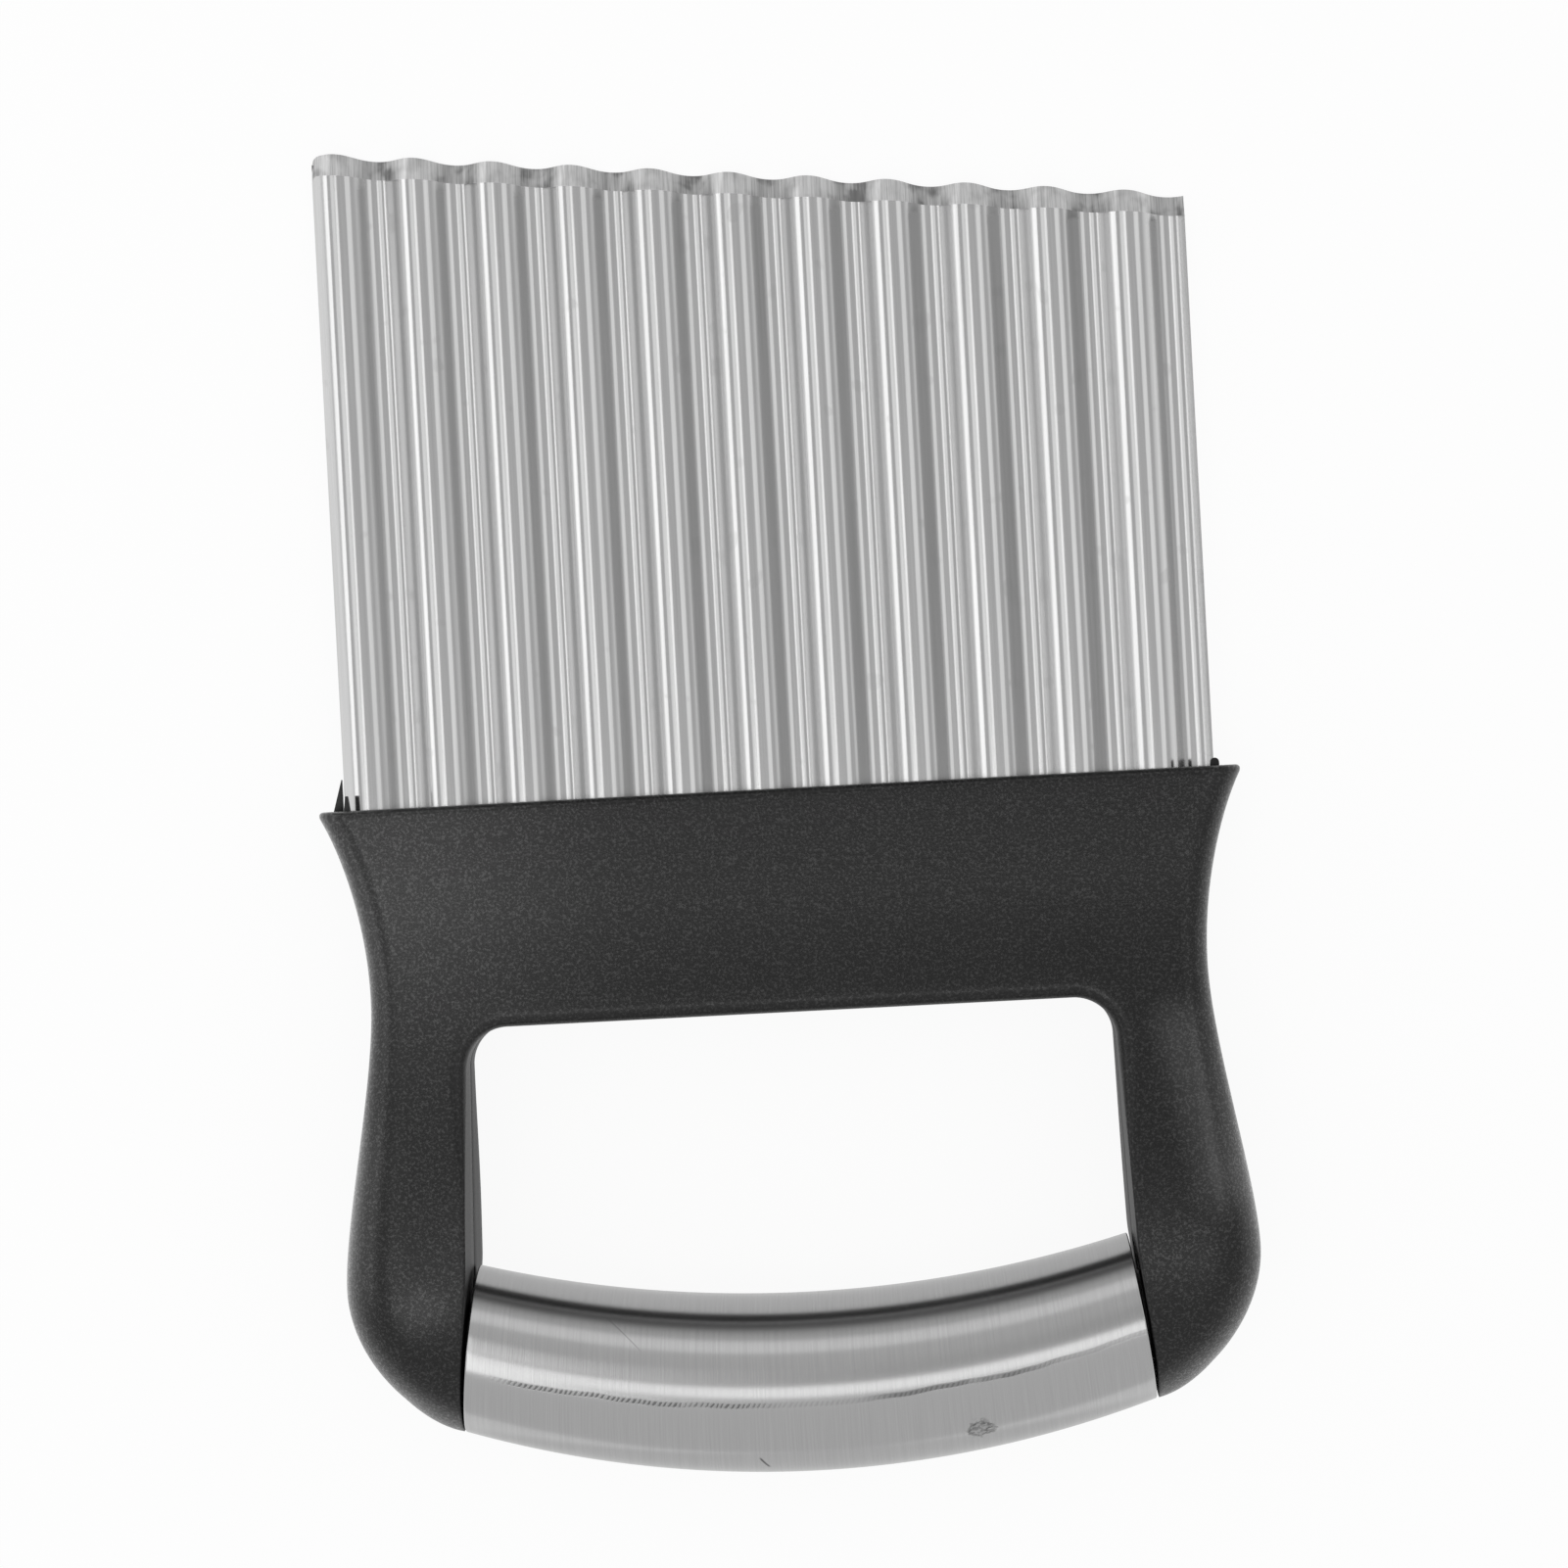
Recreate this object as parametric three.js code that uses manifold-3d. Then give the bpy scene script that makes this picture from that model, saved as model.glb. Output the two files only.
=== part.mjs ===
// Crinkle cutter: a corrugated blade in a two-part moulded handle, with a bowed steel grip tube on a core.
// Millimetres. x runs across the blade, y towards the cutting edge and z out of the front face.
// y = 0 is the mouth of the handle, where the blade comes out, and z = 0 is the parting plane of its halves.

import * as THREE from 'three';
import { mergeVertices } from 'three/addons/utils/BufferGeometryUtils.js';
import Module from 'manifold-3d';

// Clearances
const fit = 0.3; // between pieces that seat in or on each other
const tangClearance = 0.4; // ridges of the tang to the inside of the handle
const partGap = 0.3; // between the two halves of the handle
const tubeEndGap = 0.3; // lower half of a tube end to its arm
const tubeTopGap = 0.65; // upper half, where the gap opens

// Blade
const bladeWidth = 110.4;
const wavePitch = 10;
const waveDepth = 2.8; // crest to crest, at the middle of the sheet
const waveRound = 0.025; // how much fuller the ridges and valleys are than a sine's, as a share of the depth
const firstRidge = 3.2; // left end of the blade to its first front ridge
const sheet = 0.8;
const reachLeft = 83.7; // mouth to cutting edge at the left end
const reachRight = 72.5; // mouth to cutting edge at the right end
const bevelHeight = 2.8;
const edgeLand = 0.15; // what the grinding leaves of the sheet at the edge
const cornerRound = 1; // left end of the cutting edge
const tangDepth = 18;
const tangShoulder = 7; // how far each end of the tang steps in
const lockPin = 4; // diameter of the pins through the tang
const lockPinClearance = 0.4;
const lockSpacing = 30; // between the pins, each on the ridge nearest to it

// Handle
const shellWall = 2.4;
const cheek = 3.7; // plastic past each end of the blade, before the mouth is rounded
const mouthRound = 1;
const lipDepth = 5; // how deep the wavy lips grip the blade
const plateHeight = 28.2; // mouth to finger opening
const plateFlat = 14; // flat part of the plate, before it swells into the arms
const waistDrop = 25; // mouth to the narrowest place
const openingWidth = 81.9; // at the top of the finger opening
const openingCorner = 5.3;
const openingRound = 2; // rounded rim along the top of the finger opening
const openingSpread = 0.85; // what each side wall gains down to the tube
const armWaist = 12.1;
const armBulge = 15.8;
const armProud = 0.8; // how far the arms stand out past the tube's ends
const bulgeRise = 8.5; // widest place of the arms, above the middle of a tube end
const tipWall = 4; // what the hollow leaves at the tip of an arm
const sideRoundPlate = 4.4;
const sideRoundArm = 7.4;
const flarePullIn = 0.51; // how far each stretch of the outline keeps the direction of its ends, as a share of it
const flarePullDown = 0.2;
const waistPullUp = 0.4;
const waistPullDown = 0.29;
const bulgePullUp = 0.23;
const bulgePullDown = 0.47;
const tipPullOut = 0.43;
const tipPullUp = 0.052;
const earHeight = 4.1;
const earWidth = 1.2;
const prongHeight = 1.9;
const nubHeight = 1;
const nubWidth = 1.1;
const armPin = 3.6; // diameter of the pegs that line up the halves in the arms
const armPinLength = 4;
const bossWall = 1.3;
const ribWidth = 1.6;
const ribPitch = 22;

// Grip
const gripDrop = 69; // mouth to the middle of a tube end
const gripSag = 6.3; // how far the tube bows away from the blade
const tubeEnd = 20.8; // outer diameter at the ends
const tubeMiddle = 22.5;
const tubeWall = 0.8;
const endLean = THREE.MathUtils.degToRad(6.2); // arms' faces at the tube, outwards going down
const coreSpine = 12;
const coreCollar = 3; // width of a collar that centres the tube
const collarCount = 7;
const neckDiameter = 11;
const flangeDiameter = 15;
const flangeWidth = 3;

// Facets
const waveSteps = 12; // along one wave
const roundSteps = 6; // along a quarter round
const curveSteps = 9; // along one stretch of the handle's outline
const ringSteps = 24; // round the tube and the core
const bowSteps = 14; // along the tube
const pegSteps = 16; // round a peg

// Cutting tools
const outOfReach = 120; // past every face of the handle
const cutOverlap = 0.1; // how far one cut runs into the next

// Derived sizes
const plateHalf = waveDepth / 2 + sheet / 2 + tangClearance + shellWall;
const armHalf = tubeEnd / 2 + armProud;
const ridgeX = -bladeWidth / 2 + firstRidge;
const gripY = -gripDrop;
const tubeTopY = gripY + tubeEnd / 2;
const armTipY = gripY - tubeEnd / 2 - fit / 2;
const openingTop = openingWidth / 2;
const waistX = openingTop + armWaist;
const wallAtTube = openingTop + openingSpread;
const bulgeX = wallAtTube + armBulge;
const bulgeY = gripY + bulgeRise;
const wallX = (y) => wallAtTube + Math.tan(endLean) * (tubeTopY - y);

// Solids and booleans
const wasm = await Module();
wasm.setup();

function solid(geometry) {
  const bare = geometry.clone();
  bare.deleteAttribute('normal');
  bare.deleteAttribute('uv');
  const merged = mergeVertices(bare, 1e-5);
  return new wasm.Manifold(new wasm.Mesh({
    numProp: 3,
    vertProperties: Float32Array.from(merged.attributes.position.array),
    triVerts: Uint32Array.from(merged.index.array),
  }));
}

// Closed mesh of its own points, with its faces turned outwards
function closedMesh(points, triangles) {
  const bulk = triangles.reduce(
    (sum, [a, b, c]) => sum + points[a].dot(new THREE.Vector3().crossVectors(points[b], points[c])),
    0,
  );
  const outward = bulk > 0 ? triangles : triangles.map(([a, b, c]) => [a, c, b]);
  const geometry = new THREE.BufferGeometry().setFromPoints(points);
  geometry.setIndex(outward.flat());
  return solid(geometry);
}

function finished(body) {
  const mesh = body.getMesh();
  const geometry = new THREE.BufferGeometry();
  geometry.setAttribute('position', new THREE.BufferAttribute(Float32Array.from(mesh.vertProperties), 3));
  geometry.setIndex(Array.from(mesh.triVerts));
  geometry.computeVertexNormals();
  return geometry;
}

function block(low, high) {
  const size = new THREE.Vector3().subVectors(high, low);
  const centre = new THREE.Vector3().addVectors(low, high).multiplyScalar(0.5);
  return solid(new THREE.BoxGeometry(size.x, size.y, size.z).translate(centre.x, centre.y, centre.z));
}

// A round bar along z
function peg(x, y, zLow, zHigh, diameter) {
  const bar = new THREE.CylinderGeometry(diameter / 2, diameter / 2, zHigh - zLow, pegSteps);
  return solid(bar.rotateX(Math.PI / 2).translate(x, y, (zLow + zHigh) / 2));
}

// Faces between closed loops of equal length, each joined to the next
function skin(loops) {
  const count = loops[0].length;
  const triangles = [];
  for (let k = 0; k + 1 < loops.length; k += 1) {
    for (let i = 0; i < count; i += 1) {
      const a = k * count + i;
      const b = k * count + (i + 1) % count;
      triangles.push([a, b, b + count], [a, b + count, a + count]);
    }
  }
  return triangles;
}

// Solid inside closed loops, closed at both ends by a fan about each end loop's middle
function loft(loops) {
  const count = loops[0].length;
  const points = loops.flat();
  const triangles = skin(loops);
  const last = (loops.length - 1) * count;
  const middle = (loop) => loop.reduce((sum, p) => sum.add(p), new THREE.Vector3()).divideScalar(count);
  const first = points.push(middle(loops[0])) - 1;
  const end = points.push(middle(loops[loops.length - 1])) - 1;
  for (let i = 0; i < count; i += 1) {
    const j = (i + 1) % count;
    triangles.push([first, j, i], [end, last + i, last + j]);
  }
  return closedMesh(points, triangles);
}

// Blade

const waveAngle = (x) => (2 * Math.PI * (x - ridgeX)) / wavePitch;

// Point at a distance from the middle of the corrugated sheet towards its front, square to it, or straight up
function wavePoint(x, y, distance, upright = false) {
  const angle = waveAngle(x);
  const fall = (1 + waveRound) * Math.sin(angle) - 3 * waveRound * Math.sin(3 * angle);
  const slope = (-Math.PI * waveDepth * fall) / wavePitch;
  const z = (waveDepth / 2) * ((1 + waveRound) * Math.cos(angle) - waveRound * Math.cos(3 * angle));
  const length = Math.hypot(slope, 1);
  if (upright) {
    return new THREE.Vector3(x, y, z + distance * length);
  }
  return new THREE.Vector3(x - (distance * slope) / length, y, z + distance / length);
}

const edgeY = (x) => reachLeft + ((reachRight - reachLeft) * (x + bladeWidth / 2)) / bladeWidth;

// Corrugated sheet: each row of points has its own height, and its own distance to the front and the rear skin
function corrugatedSheet(halfWidth, rows) {
  const columns = Math.round((2 * halfWidth * waveSteps) / wavePitch);
  const stride = columns + 1;
  const points = [];
  for (const row of rows) {
    for (const distance of [row.front, row.rear]) {
      for (let c = 0; c <= columns; c += 1) {
        const x = -halfWidth + (2 * halfWidth * c) / columns;
        points.push(wavePoint(x, row.height(x), distance, c === 0 || c === columns));
      }
    }
  }
  const front = (r, c) => 2 * r * stride + c;
  const rear = (r, c) => (2 * r + 1) * stride + c;
  const triangles = [];
  const quad = (a, b, c, d) => triangles.push([a, b, c], [a, c, d]);
  const top = rows.length - 1;
  for (let c = 0; c < columns; c += 1) {
    for (let r = 0; r < top; r += 1) {
      quad(front(r, c), front(r, c + 1), front(r + 1, c + 1), front(r + 1, c));
      quad(rear(r, c), rear(r + 1, c), rear(r + 1, c + 1), rear(r, c + 1));
    }
    quad(rear(0, c), rear(0, c + 1), front(0, c + 1), front(0, c));
    quad(front(top, c), front(top, c + 1), rear(top, c + 1), rear(top, c));
  }
  for (let r = 0; r < top; r += 1) {
    quad(rear(r, 0), front(r, 0), front(r + 1, 0), rear(r + 1, 0));
    quad(rear(r, columns), rear(r + 1, columns), front(r + 1, columns), front(r, columns));
  }
  return closedMesh(points, triangles);
}

const lockY = -(lipDepth + tangDepth) / 2;
const nearestRidge = (x) => ridgeX + wavePitch * Math.round((x - ridgeX) / wavePitch);
const lockX = [-lockSpacing, 0, lockSpacing].map(nearestRidge);
const tangHalf = Math.min(bladeWidth / 2, waistX - shellWall) - tangShoulder;

function makeBlade() {
  const half = sheet / 2;
  let body = corrugatedSheet(bladeWidth / 2, [
    { height: () => -tangDepth, front: half, rear: -half },
    { height: (x) => edgeY(x) - bevelHeight, front: half, rear: -half },
    { height: edgeY, front: edgeLand - half, rear: -half },
  ]);
  for (const side of [-1, 1]) {
    const ends = [side * tangHalf, side * outOfReach];
    const low = new THREE.Vector3(Math.min(...ends), -outOfReach, -outOfReach);
    const high = new THREE.Vector3(Math.max(...ends), -lipDepth + fit, outOfReach);
    body = body.subtract(block(low, high));
  }
  for (const x of lockX) {
    body = body.subtract(peg(x, lockY, -waveDepth, waveDepth, lockPin + 2 * lockPinClearance));
  }
  return body.subtract(cornerTool());
}

// What rounding takes off the left end of the cutting edge
function cornerTool() {
  const lean = Math.atan2(reachRight - reachLeft, bladeWidth);
  const margin = cornerRound;
  const shape = new THREE.Shape();
  shape.moveTo(-margin, -cornerRound);
  shape.lineTo(0, -cornerRound);
  for (let i = 1; i <= roundSteps; i += 1) {
    const turn = (i / roundSteps) * (Math.PI / 2 + lean);
    shape.lineTo(cornerRound * (1 - Math.cos(turn)), cornerRound * (Math.sin(turn) - 1));
  }
  shape.lineTo(cornerRound, margin);
  shape.lineTo(-margin, margin);
  const tool = new THREE.ExtrudeGeometry(shape, { depth: 2 * waveDepth, bevelEnabled: false });
  const left = -bladeWidth / 2;
  return solid(tool.translate(left, edgeY(left), -waveDepth));
}

// Handle outline, right half, from the mouth down to the tip of the arm

const mouthX = bladeWidth / 2 + cheek;
const point2 = (x, y) => new THREE.Vector2(x, y);
const tipX = wallX(armTipY) - fit;
const mouthPoint = point2(mouthX, 0);
const waistPoint = point2(waistX, -waistDrop);
const bulgePoint = point2(bulgeX, bulgeY);
const tipPoint = point2(tipX, armTipY);

// Point part of the way from one point to another, by a share for x and one for y
function partWay(from, to, shareX, shareY) {
  return point2(THREE.MathUtils.lerp(from.x, to.x, shareX), THREE.MathUtils.lerp(from.y, to.y, shareY));
}

const outline = [
  new THREE.CubicBezierCurve(
    mouthPoint,
    partWay(mouthPoint, waistPoint, flarePullIn, flarePullDown),
    partWay(waistPoint, mouthPoint, 0, waistPullUp),
    waistPoint,
  ),
  new THREE.CubicBezierCurve(
    waistPoint,
    partWay(waistPoint, bulgePoint, 0, waistPullDown),
    partWay(bulgePoint, waistPoint, 0, bulgePullUp),
    bulgePoint,
  ),
  new THREE.CubicBezierCurve(
    bulgePoint,
    partWay(bulgePoint, tipPoint, 0, bulgePullDown),
    partWay(tipPoint, bulgePoint, tipPullOut, tipPullUp),
    tipPoint,
  ),
];

// Half the depth of the handle: flat plate, swelling arms, domed ends
const domeEnd = armTipY - fit;
function halfDepth(y) {
  if (y > bulgeY) {
    const swell = THREE.MathUtils.smoothstep(-y, plateFlat, -bulgeY);
    return THREE.MathUtils.lerp(plateHalf, armHalf, swell);
  }
  const drop = (bulgeY - y) / (bulgeY - domeEnd);
  return armHalf * Math.sqrt(1 - drop * drop);
}

// Rounding of the outer sides, larger on the arms
function sideRound(y) {
  const grown = THREE.MathUtils.smoothstep(-y, waistDrop, -bulgeY);
  return THREE.MathUtils.lerp(sideRoundPlate, sideRoundArm, grown);
}

// One level section of the handle: a box with rounded corners, drawn in by an inset all round
function handleSection(y, halfWidth, inset) {
  const width = halfWidth - inset;
  const depth = halfDepth(y) - inset;
  const roundX = Math.max(sideRound(y) - inset, fit);
  const roundZ = Math.min(roundX, depth - fit / 2);
  const loop = [];
  for (let corner = 0; corner < 4; corner += 1) {
    for (let i = 0; i <= roundSteps; i += 1) {
      const turn = (corner + i / roundSteps) * (Math.PI / 2);
      const sideX = corner === 0 || corner === 3 ? 1 : -1;
      const sideZ = corner < 2 ? -1 : 1;
      const x = sideX * (width - roundX) + roundX * Math.cos(turn);
      const z = sideZ * (depth - roundZ) - roundZ * Math.sin(turn);
      loop.push(new THREE.Vector3(x, y, z));
    }
  }
  return loop;
}

// Stations down the outline, with the mouth's rounding first
const outlinePoints = outline.flatMap((curve, k) => curve.getPoints(curveSteps).slice(k ? 1 : 0));

function outlineHalfWidth(y) {
  const k = Math.max(1, outlinePoints.findIndex((p) => p.y <= y));
  const above = outlinePoints[k - 1];
  const below = outlinePoints[k];
  return THREE.MathUtils.mapLinear(y, above.y, below.y, above.x, below.x);
}

function makeBody() {
  const sections = [];
  const mouthSteps = roundSteps / 2;
  for (let i = 0; i <= mouthSteps; i += 1) {
    const turn = (i / mouthSteps) * (Math.PI / 2);
    const y = -mouthRound * (1 - Math.cos(turn));
    sections.push(handleSection(y, outlineHalfWidth(y), mouthRound * (1 - Math.sin(turn))));
  }
  for (const p of outlinePoints.filter((station) => station.y < -mouthRound - fit)) {
    sections.push(handleSection(p.y, p.x, 0));
  }
  return loft(sections);
}

// Finger opening and the bay for the tube, as one through cut grown by a margin

function bayLoop(z, margin, rise) {
  const halfTop = openingTop + margin;
  const topY = -plateHeight + margin + rise;
  const round = openingCorner + margin + rise;
  const right = [
    point2(wallX(armTipY - outOfReach) + margin, armTipY - outOfReach),
    point2(wallAtTube + margin, tubeTopY),
  ];
  for (let i = 0; i <= roundSteps; i += 1) {
    const turn = (i / roundSteps) * (Math.PI / 2);
    right.push(point2(halfTop - round * (1 - Math.cos(turn)), topY - round * (1 - Math.sin(turn))));
  }
  const left = right.map((p) => point2(-p.x, p.y)).reverse();
  return [...right, ...left].map((p) => new THREE.Vector3(p.x, p.y, z));
}

function makeBay(margin, rim) {
  const face = halfDepth(-plateHeight);
  const levels = [];
  for (let i = 0; i <= roundSteps; i += 1) {
    const turn = (i / roundSteps) * (Math.PI / 2);
    levels.push({ z: face - rim + rim * Math.sin(turn), rise: rim * (1 - Math.cos(turn)) });
  }
  levels.push({ z: outOfReach, rise: rim });
  const front = levels.map((level) => bayLoop(level.z, margin, level.rise));
  const rear = levels.map((level) => bayLoop(-level.z, margin, level.rise)).reverse();
  return loft([...rear, ...front]);
}

// Takes off what lies past the parting surface, which follows the blade's waves between the lips
function cutAtParting(body, keptSide) {
  const shift = (keptSide * partGap) / 2;
  const far = -keptSide * outOfReach;
  const end = bladeWidth / 2 + fit;
  const steps = Math.round((2 * end * waveSteps) / wavePitch);
  const shape = new THREE.Shape();
  shape.moveTo(-outOfReach, far);
  shape.lineTo(-outOfReach, shift);
  shape.lineTo(-end, shift);
  for (let i = 0; i <= steps; i += 1) {
    const p = wavePoint(-end + (2 * end * i) / steps, 0, 0);
    shape.lineTo(p.x, p.z);
  }
  shape.lineTo(end, shift);
  shape.lineTo(outOfReach, shift);
  shape.lineTo(outOfReach, far);
  const lipEnd = -lipDepth - fit;
  const tool = new THREE.ExtrudeGeometry(shape, { depth: outOfReach - lipEnd, bevelEnabled: false });
  const pastLips = solid(tool.rotateX(Math.PI / 2).translate(0, outOfReach, 0));
  const ends = [shift, far];
  const pastPlane = block(
    new THREE.Vector3(-outOfReach, -2 * outOfReach, Math.min(...ends)),
    new THREE.Vector3(outOfReach, lipEnd + cutOverlap, Math.max(...ends)),
  );
  return body.subtract(pastLips).subtract(pastPlane);
}

// Hollow of the handle, both halves together

const cavityTop = -lipDepth;
const cavityEnd = armTipY + tipWall;

function makeCavity() {
  const inside = outlinePoints.filter((p) => p.y < cavityTop - fit && p.y > cavityEnd + fit);
  const stations = [
    point2(outlineHalfWidth(cavityTop), cavityTop),
    ...inside,
    point2(outlineHalfWidth(cavityEnd), cavityEnd),
  ];
  const space = loft(stations.map((p) => handleSection(p.y, p.x, shellWall)));
  return space.subtract(makeBay(shellWall, 0)).subtract(makeRibs());
}

// Rib that the tang stops on, and the ribs that stiffen the plate under it
function makeRibs() {
  const stopTop = -tangDepth - fit;
  const stopEnd = tangHalf + tangShoulder / 2;
  let ribs = block(
    new THREE.Vector3(-stopEnd, stopTop - ribWidth, -outOfReach),
    new THREE.Vector3(stopEnd, stopTop, outOfReach),
  );
  const ribCount = Math.floor(stopEnd / ribPitch);
  for (let k = -ribCount; k <= ribCount; k += 1) {
    ribs = ribs.add(block(
      new THREE.Vector3(k * ribPitch - ribWidth / 2, -plateHeight, -outOfReach),
      new THREE.Vector3(k * ribPitch + ribWidth / 2, stopTop - ribWidth / 2, outOfReach),
    ));
  }
  return ribs;
}

// Ears that stand up at the ends of the blade

function ear(outlineXY, zLow, zHigh) {
  const shape = new THREE.Shape(outlineXY.map(([x, y]) => point2(x, y)));
  const prism = new THREE.ExtrudeGeometry(shape, { depth: zHigh - zLow, bevelEnabled: false });
  return solid(prism.translate(0, 0, zLow));
}

const earRoot = -mouthRound - fit;
const leftEnd = -bladeWidth / 2 - fit;

function makeLeftEar() {
  const outer = leftEnd - earWidth;
  return ear([[outer, earRoot], [leftEnd, earRoot], [leftEnd, earHeight], [outer, 0]], -waveDepth / 2, -partGap / 2);
}

// Level in front of the blade that clears it over a nub's width
function nubFace(x) {
  const heights = [-1, 0, 1].map((side) => wavePoint(x + (side * nubWidth) / 2, 0, sheet / 2 + fit, true).z);
  return Math.max(...heights) + fit / 2;
}

function makeLeftProng() {
  const x = -bladeWidth / 2 + nubWidth / 2;
  const half = nubWidth / 2;
  return ear([[x - half, earRoot], [x + half, earRoot], [x, prongHeight]], nubFace(x), nubFace(x) + nubWidth);
}

function makeRightNub() {
  const x = bladeWidth / 2;
  const face = nubFace(x);
  const half = nubWidth / 2;
  const round = [];
  for (let i = 0; i <= roundSteps; i += 1) {
    const turn = (i / roundSteps) * Math.PI;
    round.push([x + half * Math.cos(turn), nubHeight - half + half * Math.sin(turn)]);
  }
  return ear([[x - half, earRoot], [x + half, earRoot], ...round], face, face + nubWidth);
}

// The two halves of the handle

const armPinX = (wallAtTube + bulgeX) / 2;
const armPinY = -(plateHeight + gripDrop) / 2;

function makeShells() {
  const slot = corrugatedSheet(bladeWidth / 2 + fit, [
    { height: () => -lipDepth - fit / 2, front: sheet / 2 + fit, rear: -sheet / 2 - fit },
    { height: () => reachLeft, front: sheet / 2 + fit, rear: -sheet / 2 - fit },
  ]);
  const hollow = makeBody().subtract(makeBay(0, openingRound)).subtract(makeCavity()).subtract(slot);
  let front = cutAtParting(hollow, 1).add(makeLeftProng()).add(makeRightNub());
  let rear = cutAtParting(hollow, -1).add(makeLeftEar());

  const floor = plateHalf - shellWall;
  const socket = shellWall / 2;
  for (const x of lockX) {
    front = front.add(peg(x, lockY, -(floor + socket - fit), floor + socket, lockPin));
    rear = rear.subtract(peg(x, lockY, -(floor + socket), 0, lockPin + 2 * fit));
  }

  const root = halfDepth(armPinY) - shellWall / 2;
  const boss = armPin + 2 * (fit + bossWall);
  for (const side of [-1, 1]) {
    const x = side * armPinX;
    front = front.add(peg(x, armPinY, partGap / 2, root, boss));
    front = front.add(peg(x, armPinY, -armPinLength, root, armPin));
    rear = rear.add(peg(x, armPinY, -root, -partGap / 2, boss));
    rear = rear.subtract(peg(x, armPinY, -armPinLength - fit, 0, armPin + 2 * fit));
  }

  const pocket = makeCore(fit);
  return { front: front.subtract(pocket), rear: rear.subtract(pocket) };
}

// Grip: an arc that bows away from the blade

const tubeHalf = wallX(gripY) - (tubeEndGap + tubeTopGap) / 2;
const bowRadius = (tubeHalf * tubeHalf + gripSag * gripSag) / (2 * gripSag);
const bowCentre = gripY - gripSag + bowRadius;
const tubeLean = endLean + Math.atan2(tubeTopGap - tubeEndGap, tubeEnd);
const bowEnd = Math.asin(tubeHalf / bowRadius);

// Ring about the arc: round when seen along the arc, in a plane that leans towards that of the tube's ends
function gripRing(x, radius) {
  const along = Math.asin(x / bowRadius);
  const lean = (along * tubeLean) / bowEnd;
  const tall = radius / Math.cos(along - lean);
  const ring = [];
  for (let i = 0; i < ringSteps; i += 1) {
    const turn = (2 * Math.PI * i) / ringSteps;
    ring.push(new THREE.Vector3(
      x + tall * Math.cos(turn) * Math.sin(lean),
      bowCentre - bowRadius * Math.cos(along) - tall * Math.cos(turn) * Math.cos(lean),
      radius * Math.sin(turn),
    ));
  }
  return ring;
}

// Sleeve: out along its outer skin and back along the bore, joined round both ends
function makeTube() {
  const outer = [];
  const bore = [];
  for (let k = 0; k <= bowSteps; k += 1) {
    const share = (2 * k) / bowSteps - 1;
    const radius = THREE.MathUtils.lerp(tubeMiddle, tubeEnd, share * share) / 2;
    outer.push(gripRing(share * tubeHalf, radius));
    bore.push(gripRing(share * tubeHalf, radius - tubeWall));
  }
  const loops = [...outer, ...bore.reverse(), outer[0]];
  return closedMesh(loops.flat(), skin(loops));
}

// Core: necks and flanges in the arms, and collars on a spine inside the tube; grown all over by a margin
function makeCore(margin) {
  const flangeIn = wallX(gripY) + shellWall + fit;
  const collar = tubeEnd - 2 * (tubeWall + fit);
  const spacing = (2 * tubeHalf - coreCollar) / (collarCount - 1);
  const steps = [{ x: -flangeIn - flangeWidth, across: flangeDiameter }, { x: -flangeIn, across: flangeDiameter }];
  for (let k = 0; k < collarCount; k += 1) {
    const start = -tubeHalf + k * spacing;
    const before = k === 0 ? neckDiameter : coreSpine;
    const after = k === collarCount - 1 ? neckDiameter : coreSpine;
    if (k === 0) {
      steps.push({ x: -flangeIn, across: before });
    }
    steps.push({ x: start, across: before });
    steps.push({ x: start, across: collar });
    steps.push({ x: start + coreCollar, across: collar });
    steps.push({ x: start + coreCollar, across: after });
  }
  steps.push({ x: flangeIn, across: neckDiameter });
  steps.push({ x: flangeIn, across: flangeDiameter });
  steps.push({ x: flangeIn + flangeWidth, across: flangeDiameter });
  return loft(steps.map((step) => gripRing(step.x, step.across / 2 + margin)));
}

// Assembly

const blackPlastic = () => new THREE.MeshStandardMaterial({ color: 0x303030, roughness: 0.62, metalness: 0 });
const groundSteel = () => new THREE.MeshStandardMaterial({ color: 0xb4b4b4, roughness: 0.24, metalness: 1 });
const brushedSteel = () => new THREE.MeshStandardMaterial({ color: 0xa6a6a6, roughness: 0.34, metalness: 1 });

function piece(name, body, material) {
  const mesh = new THREE.Mesh(finished(body), material);
  mesh.name = name;
  return mesh;
}

const shells = makeShells();
const cutter = new THREE.Group();
cutter.add(
  piece('blade', makeBlade(), groundSteel()),
  piece('front_shell', shells.front, blackPlastic()),
  piece('rear_shell', shells.rear, blackPlastic()),
  piece('grip_core', makeCore(0), blackPlastic()),
  piece('grip_tube', makeTube(), brushedSteel()),
);

// It lies on its back: on the arms, and on the cutting edge where the first rear ridge meets it
function restTilt() {
  const rearRidge = ridgeX + wavePitch / 2;
  const contact = wavePoint(rearRidge, edgeY(rearRidge), -sheet / 2);
  const slopes = outlinePoints.map((p) => (halfDepth(p.y) + contact.z) / (contact.y - p.y));
  return Math.atan(Math.max(...slopes));
}

cutter.rotation.x = -restTilt();

const crinkleCutter = new THREE.Group();
crinkleCutter.add(cutter);

// The origin is the middle of the footprint, on the worktop
const extent = new THREE.Box3().setFromObject(crinkleCutter, true);
const footprint = extent.getCenter(new THREE.Vector3());
cutter.position.set(-footprint.x, -footprint.y, -extent.min.z);

export default crinkleCutter;
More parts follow.
